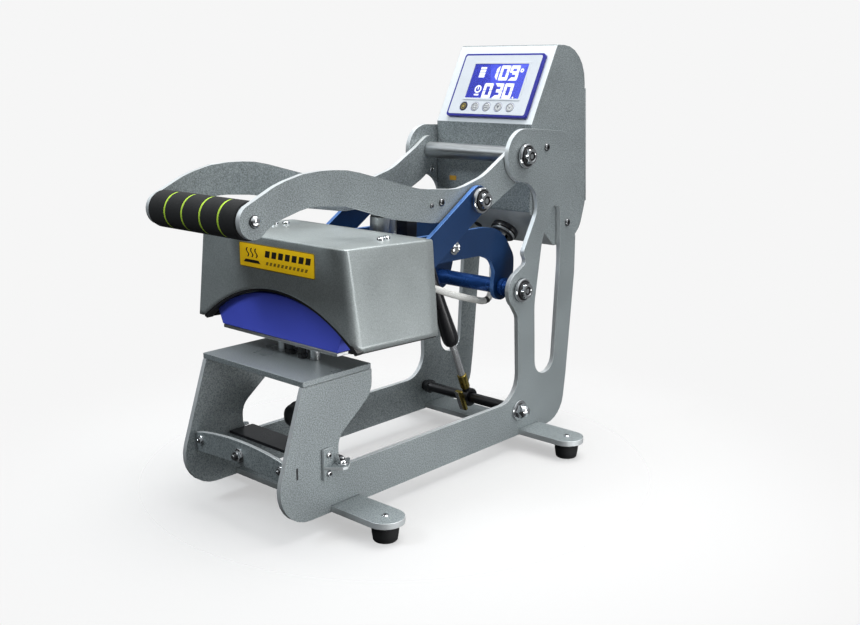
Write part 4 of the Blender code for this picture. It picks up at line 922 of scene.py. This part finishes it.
def build_lead():
    """The white sleeved lead from the gland to the cover."""
    path = smooth_route(LEAD_ROUTE)
    sides = 20
    bm = bmesh.new()
    rows = []
    side_way = Vector((1.0, 0.0, 0.0))
    for i, place in enumerate(path):
        ahead = (path[min(i + 1, len(path) - 1)] - path[max(i - 1, 0)]).normalized()
        side_way = (side_way - ahead * side_way.dot(ahead)).normalized()
        up = ahead.cross(side_way)
        radius = (LEAD_R - 0.25 + 0.12 * math.sin(i * 1.9)) * MM
        rows.append([bm.verts.new(place + (side_way * math.cos(2 * math.pi * k / sides)
                                           + up * math.sin(2 * math.pi * k / sides)) * radius)
                     for k in range(sides)])
    for low, high in zip(rows, rows[1:]):
        for k in range(sides):
            bm.faces.new((low[k], low[(k + 1) % sides], high[(k + 1) % sides], high[k]))
    bm.faces.new(rows[0][::-1])
    bm.faces.new(rows[-1])
    bmesh.ops.recalc_face_normals(bm, faces=bm.faces)
    clip = range(CLIP_POINT * ROUTE_PARTS + 2, CLIP_POINT * ROUTE_PARTS + 7)
    for number, face in enumerate(list(bm.faces)[:(len(rows) - 1) * sides]):
        face.material_index = 1 if number // sides in clip else 0
    lead = place_piece("heater_lead_sleeve", bm, [SLEEVE, KNOB], None, ("heater_lead",),
                       sharp=60.0)
    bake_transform(lead)


# ---------------------------------------------------------------- stage
def build_camera():
    data = bpy.data.cameras.new("camera")
    data.lens = 43.715
    data.sensor_width = 36.0
    camera = bpy.data.objects.new("camera", data)
    add(camera)
    azimuth, down = math.radians(42.26), math.radians(13.18)
    forward = Vector((-math.sin(azimuth) * math.cos(down), math.cos(azimuth) * math.cos(down),
                      -math.sin(down)))
    right = Vector((math.cos(azimuth), math.sin(azimuth), 0.0))
    turn = Matrix((right, right.cross(forward), -forward)).transposed().to_4x4()
    camera.matrix_world = Matrix.Translation(at(712.74, -579.73, 382.88)) @ turn
    bpy.context.scene.camera = camera


def area_light(name, place, target, size, power, colour=(1.0, 1.0, 1.0)):
    data = bpy.data.lights.new(name, "AREA")
    data.shape = "RECTANGLE"
    data.size, data.size_y = size
    data.energy = power
    data.color = colour
    lamp = bpy.data.objects.new(name, data)
    add(lamp)
    lamp.location = place
    lamp.rotation_euler = (Vector(target) - Vector(place)).to_track_quat("-Z", "Y").to_euler()
    lamp.visible_camera = False


def build_world():
    """Soft sky: bright above and to the right and rear, darker to the front and below."""
    world = bpy.data.worlds.new("studio")
    bpy.context.scene.world = world
    world.use_nodes = True
    tree = world.node_tree
    link = tree.links.new
    way = node(tree, "ShaderNodeTexCoord")
    split = node(tree, "ShaderNodeSeparateXYZ")
    link(way.outputs["Generated"], split.inputs["Vector"])
    high = ramp(tree, 0.1, 0.8, 0.03, 0.85)
    link(split.outputs["Z"], high.inputs["Value"])
    side = node(tree, "ShaderNodeVectorMath", operation="DOT_PRODUCT")
    side.inputs[1].default_value = (0.8, 0.6, 0.0)
    link(way.outputs["Generated"], side.inputs[0])
    turn = ramp(tree, -0.2, 0.9, 0.0, 0.2)
    link(side.outputs["Value"], turn.inputs["Value"])
    total = node(tree, "ShaderNodeMath", operation="ADD")
    link(high.outputs["Result"], total.inputs[0])
    link(turn.outputs["Result"], total.inputs[1])
    link(total.outputs["Value"], tree.nodes["Background"].inputs["Strength"])
    tree.nodes["Background"].inputs["Color"].default_value = (0.93, 0.97, 1.0, 1.0)


def build_stage():
    """A pale floor that fades into a pale backdrop all round."""
    tone = 0.922
    bm = bmesh.new()
    bmesh.ops.create_uvsphere(bm, u_segments=48, v_segments=24, radius=7.0)
    bmesh.ops.reverse_faces(bm, faces=bm.faces)
    mesh = bpy.data.meshes.new("backdrop")
    bm.to_mesh(mesh)
    bm.free()
    backdrop = bpy.data.objects.new("backdrop", mesh)
    pale = bpy.data.materials.new("pale_backdrop")
    pale.use_nodes = True
    tree = pale.node_tree
    glow = node(tree, "ShaderNodeEmission", Color=(tone, tone, tone, 1.0), Strength=1.0)
    tree.links.new(glow.outputs["Emission"], tree.nodes["Material Output"].inputs["Surface"])
    mesh.materials.append(pale)
    mesh.shade_smooth()

    bm = bmesh.new()
    bmesh.ops.create_circle(bm, cap_ends=True, segments=96, radius=1.6)
    mesh = bpy.data.meshes.new("floor")
    bm.to_mesh(mesh)
    bm.free()
    floor = bpy.data.objects.new("floor", mesh)
    floor.location = (0.0, 0.0, -0.0002)
    ground = bpy.data.materials.new("pale_floor")
    ground.use_nodes = True
    tree = ground.node_tree
    link = tree.links.new
    shader = tree.nodes["Principled BSDF"]
    shader.inputs["Base Color"].default_value = (0.56, 0.56, 0.56, 1.0)
    shader.inputs["Roughness"].default_value = 0.9
    shader.inputs["Specular IOR Level"].default_value = 0.0
    clear = node(tree, "ShaderNodeBsdfTransparent")
    place = node(tree, "ShaderNodeTexCoord")
    reach = node(tree, "ShaderNodeVectorMath", operation="LENGTH")
    link(place.outputs["Object"], reach.inputs[0])
    fade = ramp(tree, 0.14, 0.5, 0.5, 1.0)
    link(reach.outputs["Value"], fade.inputs["Value"])
    mix = node(tree, "ShaderNodeMixShader")
    link(fade.outputs["Result"], mix.inputs["Fac"])
    link(shader.outputs["BSDF"], mix.inputs[1])
    link(clear.outputs["BSDF"], mix.inputs[2])
    link(mix.outputs["Shader"], tree.nodes["Material Output"].inputs["Surface"])
    mesh.materials.append(ground)
    for obj in (backdrop, floor):
        add(obj)
        obj.visible_diffuse = obj.visible_glossy = False
        obj.visible_transmission = obj.visible_shadow = False


def build_lights():
    middle = at(0.0, 150.0, 200.0)
    area_light("overhead", (0.15, 0.35, 1.7), middle, (1.3, 1.3), 39.0, (1.0, 0.99, 0.97))
    area_light("right_side", (1.7, 0.35, 0.75), middle, (0.5, 1.2), 8.0)
    area_light("left_front", (-0.5, -1.2, 1.3), middle, (0.4, 0.4), 11.5, (0.88, 0.95, 1.0))
    area_light("table_bounce", (0.5, -0.05, 0.02), at(70.0, 60.0, 60.0), (0.7, 0.16), 1.2)


build_frame()
build_front_details()
build_inner_bolts()
build_lower_shaft()
build_pivots()
build_control_box()
build_display()
build_lower_platen()
build_head()
build_handle()
build_links()
build_gas_spring()
build_lead()
build_camera()
build_world()
build_stage()
build_lights()
bpy.context.scene.view_settings.view_transform = "Standard"
